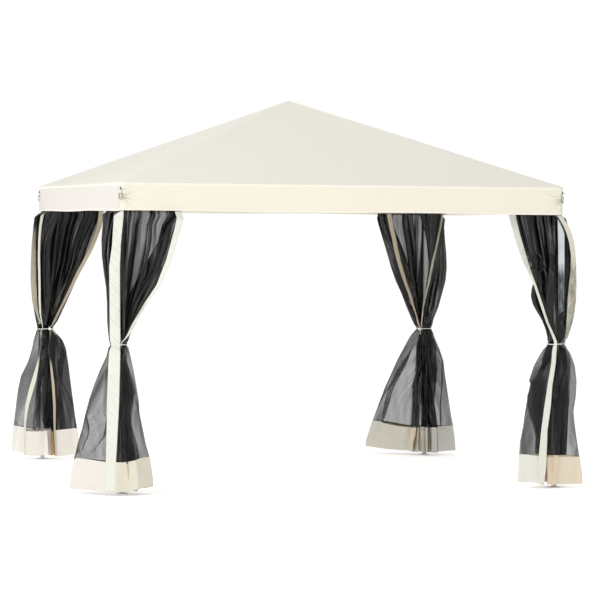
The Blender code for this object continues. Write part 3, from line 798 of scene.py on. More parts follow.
# Places are across to the right and away, as the photograph sees the tent, from the leg. Each hem has its
# plan points, where True marks cloth that hangs flat from the previous point. A track has rows of height and
# the places of its two sides. Edges are rows of height and the cloth's reach to the left and to the right.
cornerLooks = {
    "front_left": {
        "seed": 3,
        "spread": (0.43, 0.50),  # reach of the front half and the side half behind the valance
        "ease": (0.88, 0.85),  # how soon each half opens above the tie
        "bulge": (0.0, 0.03),  # how far each half bellies out
        "tie": (-0.027, -0.006, 0.056),  # across, away and radius
        "knot": (1.2, 1.0),  # turn round the tie, and lean of the tails
        "ahead": (("strip", 0.0), ("front", 0.95)),  # what lies before the folds, down to which height
        "level": (0.95, 0.4),  # how level the hem of the side half and the front half hangs
        "pleats": 1.7,  # width of the fine pleats
        "dense": (1.0, 0.3),  # fine gathers of the open cloth, and of the cloth beside the strip
        "netCover": (0.45, 0.42),  # side half and front half
        "tapes": {
            "strip": "creamStrip",
            "side": ("blackTape", 0.012),
            "front": ("paleTape", 0.036),
        },
        # painted shade: the skirt's cream cloth in darker, greyer or tan copies for each half and face, where
        # it stands in shade
        "skirtPaintedShade": {
            "sideOut": (0.77, 0.735, 0.69),
            "frontOut": (0.78, 0.745, 0.64),
            "sideIn": (0.62, 0.50, 0.36),
            "frontIn": (0.62, 0.50, 0.36),
        },
        "strip": ((-0.118, -0.150), (-0.050, -0.168)),
        "side": [(-0.315, 0.020, True), (-0.060, -0.060, True), (-0.045, -0.140, False),
                 (-0.020, -0.050, False), (0.000, -0.130, False), (0.020, -0.045, False),
                 (0.045, -0.130, False), (0.060, -0.040, False), (0.085, -0.110, False),
                 (0.050, -0.030, False), (0.030, -0.085, False)],
        "front": [(0.100, -0.150, True), (0.195, 0.060, True), (0.080, 0.000, True), (0.100, 0.120, False),
                  (0.030, 0.040, False), (0.060, 0.160, False), (0.000, 0.050, False), (0.010, 0.190, False),
                  (-0.040, 0.060, False), (-0.050, 0.200, False)],
        "tracks": {
            "strip": [
                (1.766, -0.061, -0.034, -0.000, -0.036), (1.571, -0.071, -0.040, -0.016, -0.046),
                (1.438, -0.088, -0.042, -0.020, -0.052), (1.224, -0.084, -0.046, -0.017, -0.060),
                (0.953, -0.081, -0.040, -0.013, -0.064), (0.815, -0.089, -0.050, -0.014, -0.070),
                (0.565, -0.093, -0.085, -0.017, -0.105), (0.377, -0.093, -0.105, -0.024, -0.128),
                (0.215, -0.095, -0.125, -0.031, -0.148), (0.022, -0.095, -0.145, -0.031, -0.168),
            ],
            "front": [
                (1.776, 0.341, -0.010, 0.385, -0.010), (1.675, 0.320, -0.020, 0.358, -0.020),
                (1.485, 0.271, -0.030, 0.305, -0.035), (1.321, 0.210, -0.035, 0.235, -0.040),
                (1.194, 0.126, -0.035, 0.149, -0.040), (1.068, 0.054, -0.030, 0.072, -0.040),
                (0.966, 0.007, -0.030, 0.024, -0.040),
            ],
        },
        "darts": [
            ("side", [(0.05, 0.02, 0.0), (0.2, 0.172, 0.01), (0.35, 0.198, 0.01),
                      (0.70, 0.185, 0.01), (0.78, 0.185, 0)]),
            ("side", [(0.47, 0.004, 0), (0.54, 0.026, 0.024), (0.61, 0.056, 0.034), (0.74, 0.122, 0)]),
        ],
        "edges": [(1.76, 0.138, 0.398), (1.70, 0.135, 0.360), (1.60, 0.142, 0.329), (1.50, 0.138, 0.292),
                  (1.40, 0.126, 0.255), (1.30, 0.110, 0.212), (1.20, 0.104, 0.148), (1.10, 0.102, 0.092),
                  (1.02, 0.096, 0.050), (0.945, 0.084, 0.026), (0.87, 0.104, 0.048), (0.78, 0.145, 0.068),
                  (0.69, 0.180, 0.085), (0.60, 0.210, 0.100), (0.50, 0.236, 0.108), (0.40, 0.258, 0.130),
                  (0.31, 0.284, 0.149), (0.22, 0.305, 0.175), (0.10, 0.325, 0.195), (0.0, 0.330, 0.200)],
    },
    "front_right": {
        "seed": 11,
        "spread": (0.35, 0.46),
        "ease": (1.0, 0.80),
        "bulge": (0.0, 0.11),
        "tie": (0.006, -0.004, 0.060),
        "knot": (1.3, -1.0),
        "ahead": (("strip", 1.20), ("side", 1.06), ("front", 0.0)),
        "tucks": [("front", [(0.00, 0.0, 0.095), (0.55, 0.0, 0.095), (0.70, 0.0, 0.000)])],
        "level": (0.9, 0.6),
        "pleats": 1.0,
        "dense": (1.0, 0.0),
        "netCover": (0.29, 0.46),
        "tapes": {
            # painted shade: the cream corner strip in a grey-blue shaded copy
            "strip": "creamStripPaintedShade",
            "side": ("paleTapeVeiledLow", 0.036, 0.9),
            "front": ("paleTape", 0.040),
        },
        # painted shade: copies of the cream skirt cloth, darkened or tinted tan where it stands in shade
        "skirtPaintedShade": {
            "sideOut": (0.80, 0.66, 0.48),
            "frontOut": (0.78, 0.56, 0.30),
            "sideIn": (0.80, 0.71, 0.58),
            "frontIn": (0.75, 0.745, 0.69),
        },
        "strip": ((0.075, 0.085), (0.030, 0.095)),
        "side": [(0.050, 0.160, False), (0.060, 0.060, False), (0.020, 0.150, False), (0.030, 0.050, False),
                 (-0.010, 0.130, False), (0.000, 0.040, False), (0.085, 0.010, True), (0.185, 0.000, True),
                 (-0.045, -0.085, True), (0.035, -0.040, False), (-0.035, -0.058, False),
                 (0.035, -0.036, False)],
        "front": [(-0.010, 0.160, False), (0.010, 0.050, False), (-0.040, 0.150, False),
                  (-0.010, 0.040, False), (-0.070, 0.130, False), (-0.030, 0.020, False),
                  (-0.100, 0.110, False), (-0.060, 0.000, False), (-0.115, 0.080, False),
                  (-0.090, 0.000, True), (-0.240, -0.020, True), (-0.085, -0.125, True)],
        "tracks": {
            "strip": [
                (1.754, 0.048, -0.036, 0.004, -0.040), (1.525, 0.050, -0.040, 0.009, -0.045),
                (1.296, 0.052, -0.040, 0.011, -0.045), (1.133, 0.053, -0.030, 0.015, -0.036),
                (0.981, 0.052, -0.010, 0.020, -0.016), (0.888, 0.073, 0.025, 0.036, 0.020),
                (0.572, 0.097, 0.045, 0.052, 0.055), (-0.004, 0.081, 0.085, 0.035, 0.095),
            ],
            "front": [
                (1.777, -0.268, -0.020, -0.314, -0.020), (1.653, -0.238, -0.030, -0.283, -0.030),
                (1.556, -0.208, -0.035, -0.251, -0.040), (1.478, -0.186, -0.040, -0.222, -0.045),
                (1.412, -0.165, -0.045, -0.187, -0.050), (1.328, -0.133, -0.050, -0.149, -0.055),
                (1.198, -0.089, -0.056, -0.106, -0.062), (1.087, -0.052, -0.058, -0.067, -0.066),
                (0.996, -0.010, -0.060, -0.027, -0.068), (0.957, 0.007, -0.060, -0.019, -0.068),
                (0.885, 0.003, -0.065, -0.027, -0.070), (0.820, 0.000, -0.070, -0.031, -0.076),
                (0.677, -0.022, -0.085, -0.055, -0.092), (0.533, -0.032, -0.095, -0.076, -0.102),
                (0.384, -0.052, -0.105, -0.095, -0.110), (0.240, -0.056, -0.112, -0.108, -0.118),
                (0.156, -0.058, -0.118, -0.111, -0.124), (0.012, -0.074, -0.122, -0.101, -0.130),
            ],
            "side": [
                (1.799, -0.004, -0.030, 0.022, -0.026), (1.760, 0.016, -0.030, 0.046, -0.026),
                (1.715, 0.043, -0.028, 0.076, -0.020), (1.669, 0.063, -0.024, 0.096, -0.015),
                (1.610, 0.081, -0.018, 0.114, -0.008), (1.525, 0.095, -0.015, 0.126, 0.000),
                (1.427, 0.094, -0.010, 0.131, 0.000), (1.329, 0.084, -0.010, 0.134, 0.000),
                (1.231, 0.076, -0.010, 0.132, 0.000), (1.132, 0.073, -0.010, 0.121, 0.000),
                (1.047, 0.069, -0.010, 0.101, 0.000), (0.981, 0.059, -0.010, 0.079, 0.000),
            ],
        },
        "darts": [
            ("side", [(0.20, 0.620, 0.0), (0.50, 0.620, 0.009), (0.70, 0.620, 0.009), (0.78, 0.62, 0.0)]),
            ("side", [(0.35, 0.760, 0.0), (0.48, 0.700, 0.008), (0.62, 0.620, 0.008), (0.78, 0.540, 0.0)]),
        ],
        "edges": [(1.8, 0.300, 0.014), (1.76, 0.296, 0.033), (1.715, 0.284, 0.061), (1.67, 0.272, 0.082),
                  (1.61, 0.255, 0.101), (1.525, 0.226, 0.117), (1.478, 0.206, 0.121), (1.43, 0.184, 0.124),
                  (1.38, 0.162, 0.126), (1.34, 0.150, 0.127), (1.33, 0.152, 0.127), (1.3, 0.160, 0.126),
                  (1.25, 0.164, 0.125), (1.23, 0.158, 0.125), (1.2, 0.150, 0.122), (1.164, 0.130, 0.118),
                  (1.13, 0.109, 0.114), (1.098, 0.090, 0.106), (1.05, 0.070, 0.094), (1.04, 0.066, 0.091),
                  (0.98, 0.052, 0.072), (0.945, 0.056, 0.062), (0.87, 0.100, 0.105), (0.8, 0.138, 0.130),
                  (0.7, 0.170, 0.142), (0.6, 0.182, 0.138), (0.5, 0.194, 0.124), (0.4, 0.206, 0.135),
                  (0.3, 0.225, 0.149), (0.22, 0.230, 0.163), (0.1, 0.236, 0.184), (0, 0.240, 0.190)],
    },
    "back_right": {
        "seed": 5,
        "spread": (0.38, 0.46),
        "ease": (0.82, 0.80),
        "bulge": (0.0, 0.05),
        "tie": (-0.012, 0.004, 0.058),
        "knot": (-2.165, 0.5),
        "ahead": (("side", 0.95), ("front", 0.95)),
        "level": (0.6, 0.75),
        "pleats": 1.6,
        "stripOutside": True,
        "dense": (0.75, 2.6),
        "netCover": (0.42, 0.44),
        "tapes": {
            "strip": "creamStrip",
            "side": ("paleTapeVeiled", 0.012),
            "front": ("tanTape", 0.030),
        },
        # painted shade: copies of the cream skirt cloth, darkened or tinted grey where it stands in shade
        "skirtPaintedShade": {
            "sideOut": (0.60, 0.59, 0.56),
            "frontOut": (0.66, 0.64, 0.57),
            "sideIn": (0.74, 0.64, 0.48),
            "frontIn": (0.74, 0.64, 0.48),
        },
        "strip": ((0.050, 0.135), (-0.020, 0.145)),
        "side": [(0.235, 0.000, True), (0.060, -0.050, True), (0.090, -0.120, False), (0.050, -0.070, False),
                 (0.070, -0.150, False), (0.040, -0.080, False), (0.045, -0.160, False),
                 (0.020, -0.090, False), (0.015, -0.160, False), (0.000, -0.090, False),
                 (-0.020, -0.150, False), (-0.030, -0.090, False)],
        "front": [(-0.430, 0.060, True), (-0.130, -0.060, True), (-0.080, -0.130, False),
                  (-0.110, -0.050, False), (-0.045, -0.140, False), (-0.070, -0.050, False),
                  (0.000, -0.140, False), (-0.020, -0.055, False), (0.040, -0.140, False)],
        "tracks": {
            "front": [
                (1.779, -0.260, -0.030, -0.293, -0.030), (1.697, -0.244, -0.030, -0.277, -0.030),
                (1.616, -0.225, -0.035, -0.258, -0.035), (1.531, -0.208, -0.035, -0.240, -0.035),
                (1.448, -0.189, -0.040, -0.218, -0.040), (1.365, -0.164, -0.040, -0.193, -0.040),
                (1.283, -0.140, -0.040, -0.164, -0.040), (1.200, -0.110, -0.045, -0.131, -0.045),
                (1.118, -0.087, -0.045, -0.103, -0.045), (1.036, -0.062, -0.050, -0.074, -0.050),
                (0.947, -0.040, -0.050, -0.055, -0.050),
            ],
            "side": [
                (1.782, 0.110, -0.020, 0.124, -0.040), (1.700, 0.096, -0.035, 0.109, -0.055),
                (1.618, 0.080, -0.050, 0.092, -0.070), (1.533, 0.063, -0.050, 0.075, -0.070),
                (1.450, 0.042, -0.050, 0.057, -0.070), (1.367, 0.027, -0.050, 0.042, -0.070),
                (1.284, 0.012, -0.050, 0.024, -0.070), (1.201, -0.007, -0.045, 0.005, -0.065),
                (1.118, -0.024, -0.045, -0.014, -0.065), (0.947, -0.038, -0.040, -0.030, -0.055),
            ],
        },
        "darts": [
            ("front", [(0.0, 0.6, 0.0), (0.134, 0.59, 0.018), (0.451, 0.568, 0.052), (0.6, 0.538, 0.046),
                      (0.806, 0.485, 0.004), (0.82, 0.48, 0)]),
            ("side", [(0.2, 0.3, 0.0), (0.45, 0.31, 0.02), (0.7, 0.32, 0.02), (0.8, 0.32, 0)]),
        ],
        "edges": [(1.76, 0.368, 0.140), (1.70, 0.353, 0.134), (1.60, 0.322, 0.141), (1.50, 0.291, 0.152),
                  (1.40, 0.262, 0.156), (1.30, 0.226, 0.148), (1.20, 0.180, 0.122), (1.10, 0.142, 0.096),
                  (1.02, 0.108, 0.064), (0.945, 0.071, 0.047), (0.87, 0.121, 0.073), (0.80, 0.158, 0.104),
                  (0.70, 0.209, 0.138), (0.60, 0.253, 0.150), (0.50, 0.297, 0.166), (0.40, 0.333, 0.182),
                  (0.30, 0.369, 0.198), (0.22, 0.399, 0.214), (0.10, 0.435, 0.230), (0.0, 0.440, 0.235)],
    },
    "back_left": {
        "seed": 8,
        "spread": (0.475, 0.46),
        "ease": (1.0, 0.80),
        "bulge": (0.0, 0.09),
        "tie": (0.012, 0.004, 0.060),
        "knot": (-0.95, 0.9),
        "ahead": (("strip", 1.0), ("front", 0.0), ("side", 0.0)),
        "level": (0.2, 0.5),
        "pleats": 1.2,
        "dense": (0.65, 0.0),
        "netCover": (0.40, 0.62),
        "tapes": {
            "strip": "oliveStrip",
            "side": ("paleTapeVeiledMiddle", 0.022),
            "front": ("tanTapeVeiledMiddle", 0.028),
        },
        # painted shade: copies of the cream skirt cloth, the inner front face tinted tan where it stands in
        # shade
        "skirtPaintedShade": {
            "sideOut": (0.87, 0.84, 0.79),
            "frontOut": (0.87, 0.84, 0.79),
            "sideIn": (0.87, 0.83, 0.79),
            "frontIn": (0.80, 0.60, 0.37),
        },
        "strip": ((-0.030, 0.125), (0.035, 0.125)),
        "side": [(-0.228, 0.010, True), (-0.080, -0.010, True), (-0.060, 0.060, False),
                 (-0.030, 0.000, False), (-0.020, 0.070, False), (0.000, 0.000, False),
                 (0.010, 0.070, False), (0.025, 0.000, False), (0.030, 0.060, False),
                 (0.045, -0.050, False), (0.000, -0.055, False),
                 (0.045, -0.080, True), (-0.130, -0.130, True)],
        "front": [(-0.020, 0.110, False), (0.000, 0.040, False), (0.030, 0.100, False), (0.050, 0.030, False),
                  (0.090, 0.090, False), (0.100, 0.020, False), (0.150, 0.070, False), (0.160, 0.010, False),
                  (0.275, 0.020, True), (0.100, -0.110, True)],
        "tracks": {
            "strip": [
                (1.769, -0.067, 0.020, -0.045, 0.050), (1.668, -0.079, 0.022, -0.060, 0.050),
                (1.545, -0.090, 0.025, -0.062, 0.055), (1.422, -0.095, 0.025, -0.060, 0.055),
                (1.292, -0.096, 0.025, -0.058, 0.055), (1.148, -0.083, 0.020, -0.049, 0.050),
                (1.032, -0.063, 0.020, -0.037, 0.045), (0.946, -0.036, 0.020, -0.002, 0.040),
            ],
            "side": [
                (1.770, 0.004, -0.035, -0.018, -0.040), (1.683, -0.012, -0.040, -0.030, -0.045),
                (1.582, -0.021, -0.045, -0.036, -0.050), (1.474, -0.023, -0.050, -0.037, -0.055),
                (1.258, -0.017, -0.050, -0.032, -0.055), (1.150, -0.016, -0.050, -0.030, -0.055),
                (1.028, -0.012, -0.045, -0.023, -0.050), (0.948, -0.008, -0.044, -0.016, -0.050),
                (0.790, -0.012, -0.060, -0.019, -0.065), (0.682, -0.025, -0.070, -0.041, -0.075),
                (0.589, -0.039, -0.080, -0.069, -0.085), (0.496, -0.063, -0.090, -0.095, -0.095),
                (0.395, -0.091, -0.100, -0.115, -0.105), (0.323, -0.104, -0.105, -0.121, -0.110),
                (0.251, -0.112, -0.110, -0.124, -0.115), (0.036, -0.114, -0.120, -0.124, -0.125),
            ],
            "front": [
                (1.780, 0.395, -0.020, 0.431, -0.020), (1.679, 0.383, -0.020, 0.418, -0.020),
                (1.518, 0.326, -0.030, 0.357, -0.030), (1.356, 0.240, -0.030, 0.270, -0.030),
                (1.195, 0.167, -0.035, 0.190, -0.035), (1.064, 0.104, -0.035, 0.123, -0.040),
                (0.948, 0.051, -0.035, 0.064, -0.045), (0.790, 0.041, -0.055, 0.049, -0.060),
                (0.676, 0.056, -0.065, 0.072, -0.070), (0.539, 0.070, -0.075, 0.091, -0.080),
                (0.396, 0.081, -0.087, 0.101, -0.090), (0.252, 0.087, -0.100, 0.101, -0.104),
                (0.037, 0.100, -0.110, 0.111, -0.114),
            ],
        },
        "darts": [
            ("side", [(0.05, 0.060, 0.0), (0.4, 0.060, 0.012), (0.70, 0.060, 0.012), (0.78, 0.06, 0.0)]),
        ],
        "edges": [(1.8, 0.050, 0.438), (1.76, 0.056, 0.438), (1.7, 0.068, 0.412), (1.6, 0.078, 0.370),
                  (1.5, 0.086, 0.328), (1.4, 0.088, 0.285), (1.3, 0.088, 0.240), (1.2, 0.082, 0.195),
                  (1.1, 0.072, 0.150), (1.02, 0.058, 0.115), (0.945, 0.042, 0.072), (0.87, 0.067, 0.136),
                  (0.8, 0.080, 0.165), (0.7, 0.109, 0.182), (0.6, 0.159, 0.195), (0.5, 0.180, 0.208),
                  (0.4, 0.193, 0.222), (0.3, 0.203, 0.236), (0.22, 0.214, 0.250), (0.1, 0.222, 0.268),
                  (0, 0.225, 0.272)],
    },
}


def toPlan(across, away):
    return across * planRight + away * planAway


def drift(seed, count=5):  # a smooth wandering function of two numbers, about -1 to 1
    values = np.random.default_rng(seed)
    tilt = values.uniform(-3.2, 3.2, count)
    fall = values.uniform(-2.6, 2.6, count)
    phase = values.uniform(0, math.tau, count)

    def at(first, second):
        total = 0.0
        for a, b, c in zip(tilt, fall, phase):
            total = total + np.sin(a * first + b * second + c)
        return total / math.sqrt(count)

    return at


def smoothed(values, width):  # running mean down the first axis, with both ends turned about themselves
    width = max(int(width), 1)
    kernel = np.hanning(2 * width + 3)[1:-1]
    kernel /= kernel.sum()
    shaped = values.reshape(len(values), -1)
    head = 2 * shaped[0] - shaped[width:0:-1]
    tail = 2 * shaped[-1] - shaped[-2:-width - 2:-1]
    padded = np.concatenate([head, shaped, tail])
    columns = [np.convolve(padded[:, i], kernel, mode="valid") for i in range(shaped.shape[1])]
    return np.stack(columns, axis=-1).reshape(values.shape)


def foldWave(seed, widths):  # uneven folds along a cloth, about -1 to 1, that drift as they run down it
    values = np.random.default_rng(seed)
    waves = [(math.tau / w, values.uniform(0, math.tau), drift(seed * 7 + i)) for i, w in enumerate(widths)]

    def at(cloth, z):
        total = 0.0
        for rate, phase, wander in waves:
            total = total + np.sin(rate * cloth + phase + 1.1 * wander(1.3 * cloth, 1.4 * z))
        return np.tanh(1.25 * total / math.sqrt(len(waves) / 2))

    return at


# How far such a wave has to lean out for the cloth to advance by a given share of its length
leanAngles = np.linspace(0.0, 2.5, 70)
waveSample = foldWave(1, (0.41, 0.33, 0.27))(np.linspace(-4, 4, 3000), 0.5)
leanShares = np.array([np.cos(angle * waveSample).mean() for angle in leanAngles])


def unitRows(line):
    return line / np.maximum(np.linalg.norm(line, axis=1), 1e-9)[:, None]


def folded(line, wave, wanted, step, width, most):
    # The line with folds added, so that each step covers the wanted share of its cloth
    ahead = unitRows(np.gradient(smoothed(line, width), axis=0))
    speed = smoothed(np.linalg.norm(np.gradient(line, axis=0), axis=1) / step, width // 2)
    beside = np.stack([ahead[:, 1], -ahead[:, 0]], axis=-1)
    share = np.clip(speed / wanted, 0.0, 1.0)
    lean = np.interp(-share, -leanShares, leanAngles) * wave
    forward = np.cumsum(wanted * np.cos(lean)) * step
    across = np.cumsum(wanted * np.sin(lean)) * step
    forward = forward - smoothed(forward, width)
    across = across - smoothed(across, width)
    across = most * np.tanh(across / most)
    return line + ahead * forward[:, None] + beside * across[:, None]


def tableAt(rows, z):  # the values of a table with falling heights, at a height
    table = np.array(rows)
    return [np.interp(-z, -table[:, 0], table[:, i]) for i in range(1, table.shape[1])]


def outside(values, first, last):  # distance of each value from a span
    return np.maximum(np.maximum(first - values, values - last), 0.0)


class Curtain:  # one corner's cloth: columns run across its width, rows of places run down its levels
    def __init__(self, name, look, v):
        self.v, self.look = v, look
        self.signs = np.array(cornerSigns[cornerNames.index(name)], dtype=float)
        self.facing = 1.0 if self.signs[0] * self.signs[1] > 0 else -1.0
        self.cloth = np.linspace(-v["wall"], v["wall"], v["columns"] + 1)
        self.away = np.abs(self.cloth)
        self.step = self.cloth[1] - self.cloth[0]
        self.wander = drift(look["seed"] * 10)
        self.wideFolds = foldWave(look["seed"] * 10 + 1, v["wideFolds"])
        self.finePleats = foldWave(look["seed"] * 10 + 2, [look["pleats"] * w for w in v["finePleats"]])
        self.tie = toPlan(*look["tie"][:2])
        leg = self.signs * legAt
        self.middle = float(leg @ planRight) - cameraPlace["aside"]
        self.distance = float(leg @ planAway) + cameraPlace["distance"]
        side, front = look["tapes"]["side"][1], look["tapes"]["front"][1]
        self.spans = {
            "strip": (-v["strip"], v["strip"]),
            "side": (side - v["wall"], -v["wall"]),
            "front": (v["wall"] - front, v["wall"]),
        }
        self.stripEnds = [toPlan(*p) for p in look["strip"]]
        self.hemParts = {"side": self.hemPart("side", 0), "front": self.hemPart("front", 1)}
        upper = np.linspace(v["topZ"], tieZ + 0.012, v["upperLevels"])
        lower = np.linspace(tieZ, 0.0, v["lowerLevels"])
        self.level = np.concatenate([upper, lower])
        self.firstLower = len(upper)
        rows = self.bringForward([self.layRow(z) for z in self.level])
        self.rows = np.array([self.holdIn(row, z) for row, z in zip(rows, self.level)])
        self.depths = np.array([self.depth(row, z) for row, z in zip(self.rows, self.level)])
        self.measure()

    def hemPart(self, key, end):
        points = [self.stripEnds[end]] + [toPlan(*p[:2]) for p in self.look[key]]
        spans = [float(np.linalg.norm(b - a)) for a, b in zip(points, points[1:])]
        return np.array(points), [p[2] for p in self.look[key]], np.array(spans)

    def lowerLine(self, z):  # below the tie: the hem's line, drawn in towards the tie
        v = self.v
        t = max((tieZ - z) / tieZ, 0.0)
        grow = v["waist"] + (1 - v["waist"]) * t ** v["flare"]
        line = np.zeros((len(self.cloth), 2))
        cut = v["wall"] - v["strip"]
        for key, sign in (("side", -1), ("front", 1)):
            points, flats, spans = self.hemParts[key]
            flatCloth = sum(s * grow for s, f in zip(spans, flats) if f)
            looseSpan = sum(s for s, f in zip(spans, flats) if not f)
            extra = max((cut - flatCloth) / looseSpan, grow)
            lengths = [s * (grow if f else extra) for s, f in zip(spans, flats)]
            stops = np.concatenate([[0.0], np.cumsum(lengths)])
            stops *= cut / stops[-1]
            own = self.cloth * sign > v["strip"]
            for axis in range(2):
                line[own, axis] = np.interp(self.away[own] - v["strip"], stops, points[:, axis])
        own = self.away <= v["strip"]
        mix = (self.cloth[own] + v["strip"]) / (2 * v["strip"])
        line[own] = self.stripEnds[0] + (self.stripEnds[1] - self.stripEnds[0]) * mix[:, None]
        line = smoothed(line, 2 + 3 * (1 - min(t, 1.0)))
        line = self.sewFolds(line, self.look.get("darts", []), t, grow, v["dartRise"])
        return self.tie * (1 - t) + (line - self.tie * (1 - t) * 0.2) * grow

    def sewFolds(self, line, folds, t, grow, rise):
        # Narrow folds laid into the cloth: its half, and rows of share down, place from the strip and width
        strip = self.v["strip"]
        for key, rows in folds:
            table = np.array(rows)
            width = float(np.interp(t, table[:, 0], table[:, 2], left=0.0, right=table[-1, 2]))
            if width <= 0.0:
                continue
            sign = -1 if key == "side" else 1
            fold = strip + float(np.interp(t, table[:, 0], table[:, 1])) * grow
            past = self.away - fold
            source = np.where(past < 0, self.away, np.where(past < width, fold - past, self.away - 2 * width))
            proud = np.clip(np.minimum(past / width, (4 * width - past) / (2 * width)), 0, 1) * rise
            ahead = unitRows(np.gradient(line, axis=0))
            moved = np.stack([np.interp(sign * source, self.cloth, line[:, i]) for i in range(2)], axis=-1)
            beside = np.stack([ahead[:, 1], -ahead[:, 0]], axis=-1) * self.facing
            own = self.cloth * sign > strip
            line = np.where(own[:, None], moved + beside * proud[:, None], line)
        return line

    def upperLine(self, z):  # above the tie: from a ring at the tie to an L along the valance
        v, look = self.v, self.look
        t = min(max((z - tieZ) / (v["topZ"] - tieZ), 0.0), 1.0)
        arms = np.array(look["spread"]) * (v["arms"] + (1 - v["arms"]) * t)
        q = np.zeros(len(self.cloth))
        for sign, arm in ((-1, arms[1]), (1, arms[0])):
            own = self.cloth * sign >= 0
            strip = min(v["strip"] / arm, v["stripMost"])
            q[own] = sign * np.interp(self.away[own], [0, v["strip"], v["wall"]], [0, strip, 1.0])
        angle = -math.pi * 3 / 4 + q * v["tieTurn"]
        ring = look["tie"][2] - v["ringIn"]
        tied = np.stack([ring * np.cos(angle), ring * np.sin(angle)], axis=-1)
        swell = math.sin(math.pi * t ** v["swell"])
        loose = smoothStep(0.0, 0.5, np.abs(q))
        inset = v["inset"] * smoothStep(0.1, 0.3, np.abs(q)) * float(smoothStep(0.7, 1.0, t))
        walls = []
        for way, wall in ((1, 0), (-1, 1)):
            along = (way * q + np.sqrt(q ** 2 + v["cornerSoft"] ** 2)) / 2 * look["spread"][wall]
            belly = look["bulge"][1 - wall] * swell * loose
            walls.append(v["wallPlane"] + along + np.where(way * q < 0, inset - belly, 0.0))
        walls = np.stack(walls, axis=-1)
        ease = np.where(q > 0, t ** look["ease"][0], t ** look["ease"][1])[:, None]
        local = tied + (walls - tied) * ease
        return local * -self.signs + self.tie * (1 - t) ** 2

    def layRow(self, z):
        v, s, step = self.v, self.cloth, self.step
        up = float(smoothStep(tieZ - v["blend"], tieZ + v["blend"], z))
        line = self.lowerLine(z) * (1 - up) + self.upperLine(z) * up
        off = abs(z - tieZ)
        besideStrip, first, last, left = v["calm"]
        calm = smoothStep(v["strip"], v["strip"] + besideStrip, self.away)
        calm = calm * (left + (1 - left) * smoothStep(first, last, v["wall"] - self.away))
        least, more, over = v["room"]
        room = least + more * float(smoothStep(0.0, over, off))
        wideMean, fineMean = v["foldMean"]
        if up > 0.0:
            least, more, over = v["hang"]
            share, across, down = v["uneven"]
            wanted = least + more * up * float(smoothStep(0.0, over, off))
            wanted = wanted * (1 + share * self.wander(across * s, down * z))
            wide = folded(line, self.wideFolds(s, z), wanted, step, wideMean / step, room)
            line = line + (wide - line) * (up * calm)[:, None]
        fineMean = fineMean * self.look["pleats"]
        fine = folded(line, self.finePleats(s, z), v["pleatShare"], step, fineMean / step, room)
        line = line + (fine - line) * calm[:, None]
        if z > tieZ and "tucks" in self.look:
            share = (z - tieZ) / (v["topZ"] - tieZ)
            line = self.sewFolds(line, self.look["tucks"], share, 1.0, v["tuckRise"])
        line = self.underValance(line, z)
        line = self.fitEdges(line, z, 1.0)
        line, pinned = self.pinTracks(line, z)
        return self.fitEdges(line, z, 1 - pinned)

    def underValance(self, line, z):  # folds leave the valance plane only little by little below its hem
        low = legAt - (roofHalf - netFace) - self.v["lean"] * max(valanceLow - z, 0.0)
        local = line * -self.signs
        local = (local + low + np.sqrt((local - low) ** 2 + self.v["leanSoft"] ** 2)) / 2
        return local * -self.signs

    def seen(self, line):  # where the photograph sees each place: across, at the leg's distance, and away
        away = line @ planAway
        turned = (self.middle + line @ planRight) * self.distance / (self.distance + away)
        return turned - self.middle, away

    def towards(self, line, shift):  # moves places along the photograph's lines of sight
        slant = (self.middle + line @ planRight) / (self.distance + line @ planAway)
        return line + shift[:, None] * (planAway + slant[:, None] * planRight)

    def bringForward(self, rows):
        # Strips and free edges come to the front of the folds that cross them in the photograph
        v, s = self.v, self.cloth
        apart, margin = v["beside"]
        above = int((self.level > tieZ + v["steepAbove"]).sum())
        for label, lowest in self.look["ahead"]:
            first, last = sorted(self.spans[label])
            own = (s >= first) & (s <= last)
            beyond = outside(s, first, last)
            pushes = np.zeros(len(rows))
            for i, line in enumerate(rows):
                across, away = self.seen(line)
                low, high = across[own].min() - margin, across[own].max() + margin
                near = (across > low) & (across < high) & (beyond > apart)
                if near.any():
                    pushes[i] = min(away[near].min() - v["front"] - away[own].max(), 0.0)
            wide = np.array([pushes[max(i - 3, 0):i + 4].min() for i in range(len(pushes))])
            for order, back in ((range(1, above), 1), (range(above - 1, -1, -1), -1)):
                for i in order:
                    rise = abs(self.level[i] - self.level[i - back])
                    wide[i] = min(wide[i], wide[i - back] + v["steepest"] * rise)
            wide = smoothed(wide, 3) * smoothStep(lowest - v["fade"][0], lowest, self.level)
            ease = np.exp(-(beyond / v["frontReach"]) ** 2)
            rows = [self.towards(line, push * ease) for line, push in zip(rows, wide)]
        return rows

    def pinTracks(self, line, z):
        # The corner strip and the free edges move onto their own tracks, and the cloth beside them follows
        s = self.cloth
        pull, hold = self.v["trackReach"]
        over = self.v["fade"][1]
        pinned = np.zeros(len(s))
        for label, rows in self.look["tracks"].items():
            first, last = self.spans[label]
            places = tableAt(rows, z)
            ends = [toPlan(*places[:2]), toPlan(*places[2:])]
            now = [np.array([np.interp(at, s, line[:, i]) for i in range(2)]) for at in (first, last)]
            slot = np.clip((s - first) / (last - first), 0, 1)[:, None]
            target = ends[0] + (ends[1] - ends[0]) * slot
            base = now[0] + (now[1] - now[0]) * slot
            beyond = outside(s, min(first, last), max(first, last))
            lowest = rows[-1][0]
            fade = float(smoothStep(lowest - over, lowest, z)) if lowest > over else 1.0
            moved = np.where((beyond == 0.0)[:, None], target - line, target - base)
            line = line + moved * (np.exp(-(beyond / pull) ** 2) * fade)[:, None]
            pinned = np.maximum(pinned, np.exp(-(beyond / hold) ** 2) * fade)
        return line, pinned

    def depth(self, line, z):
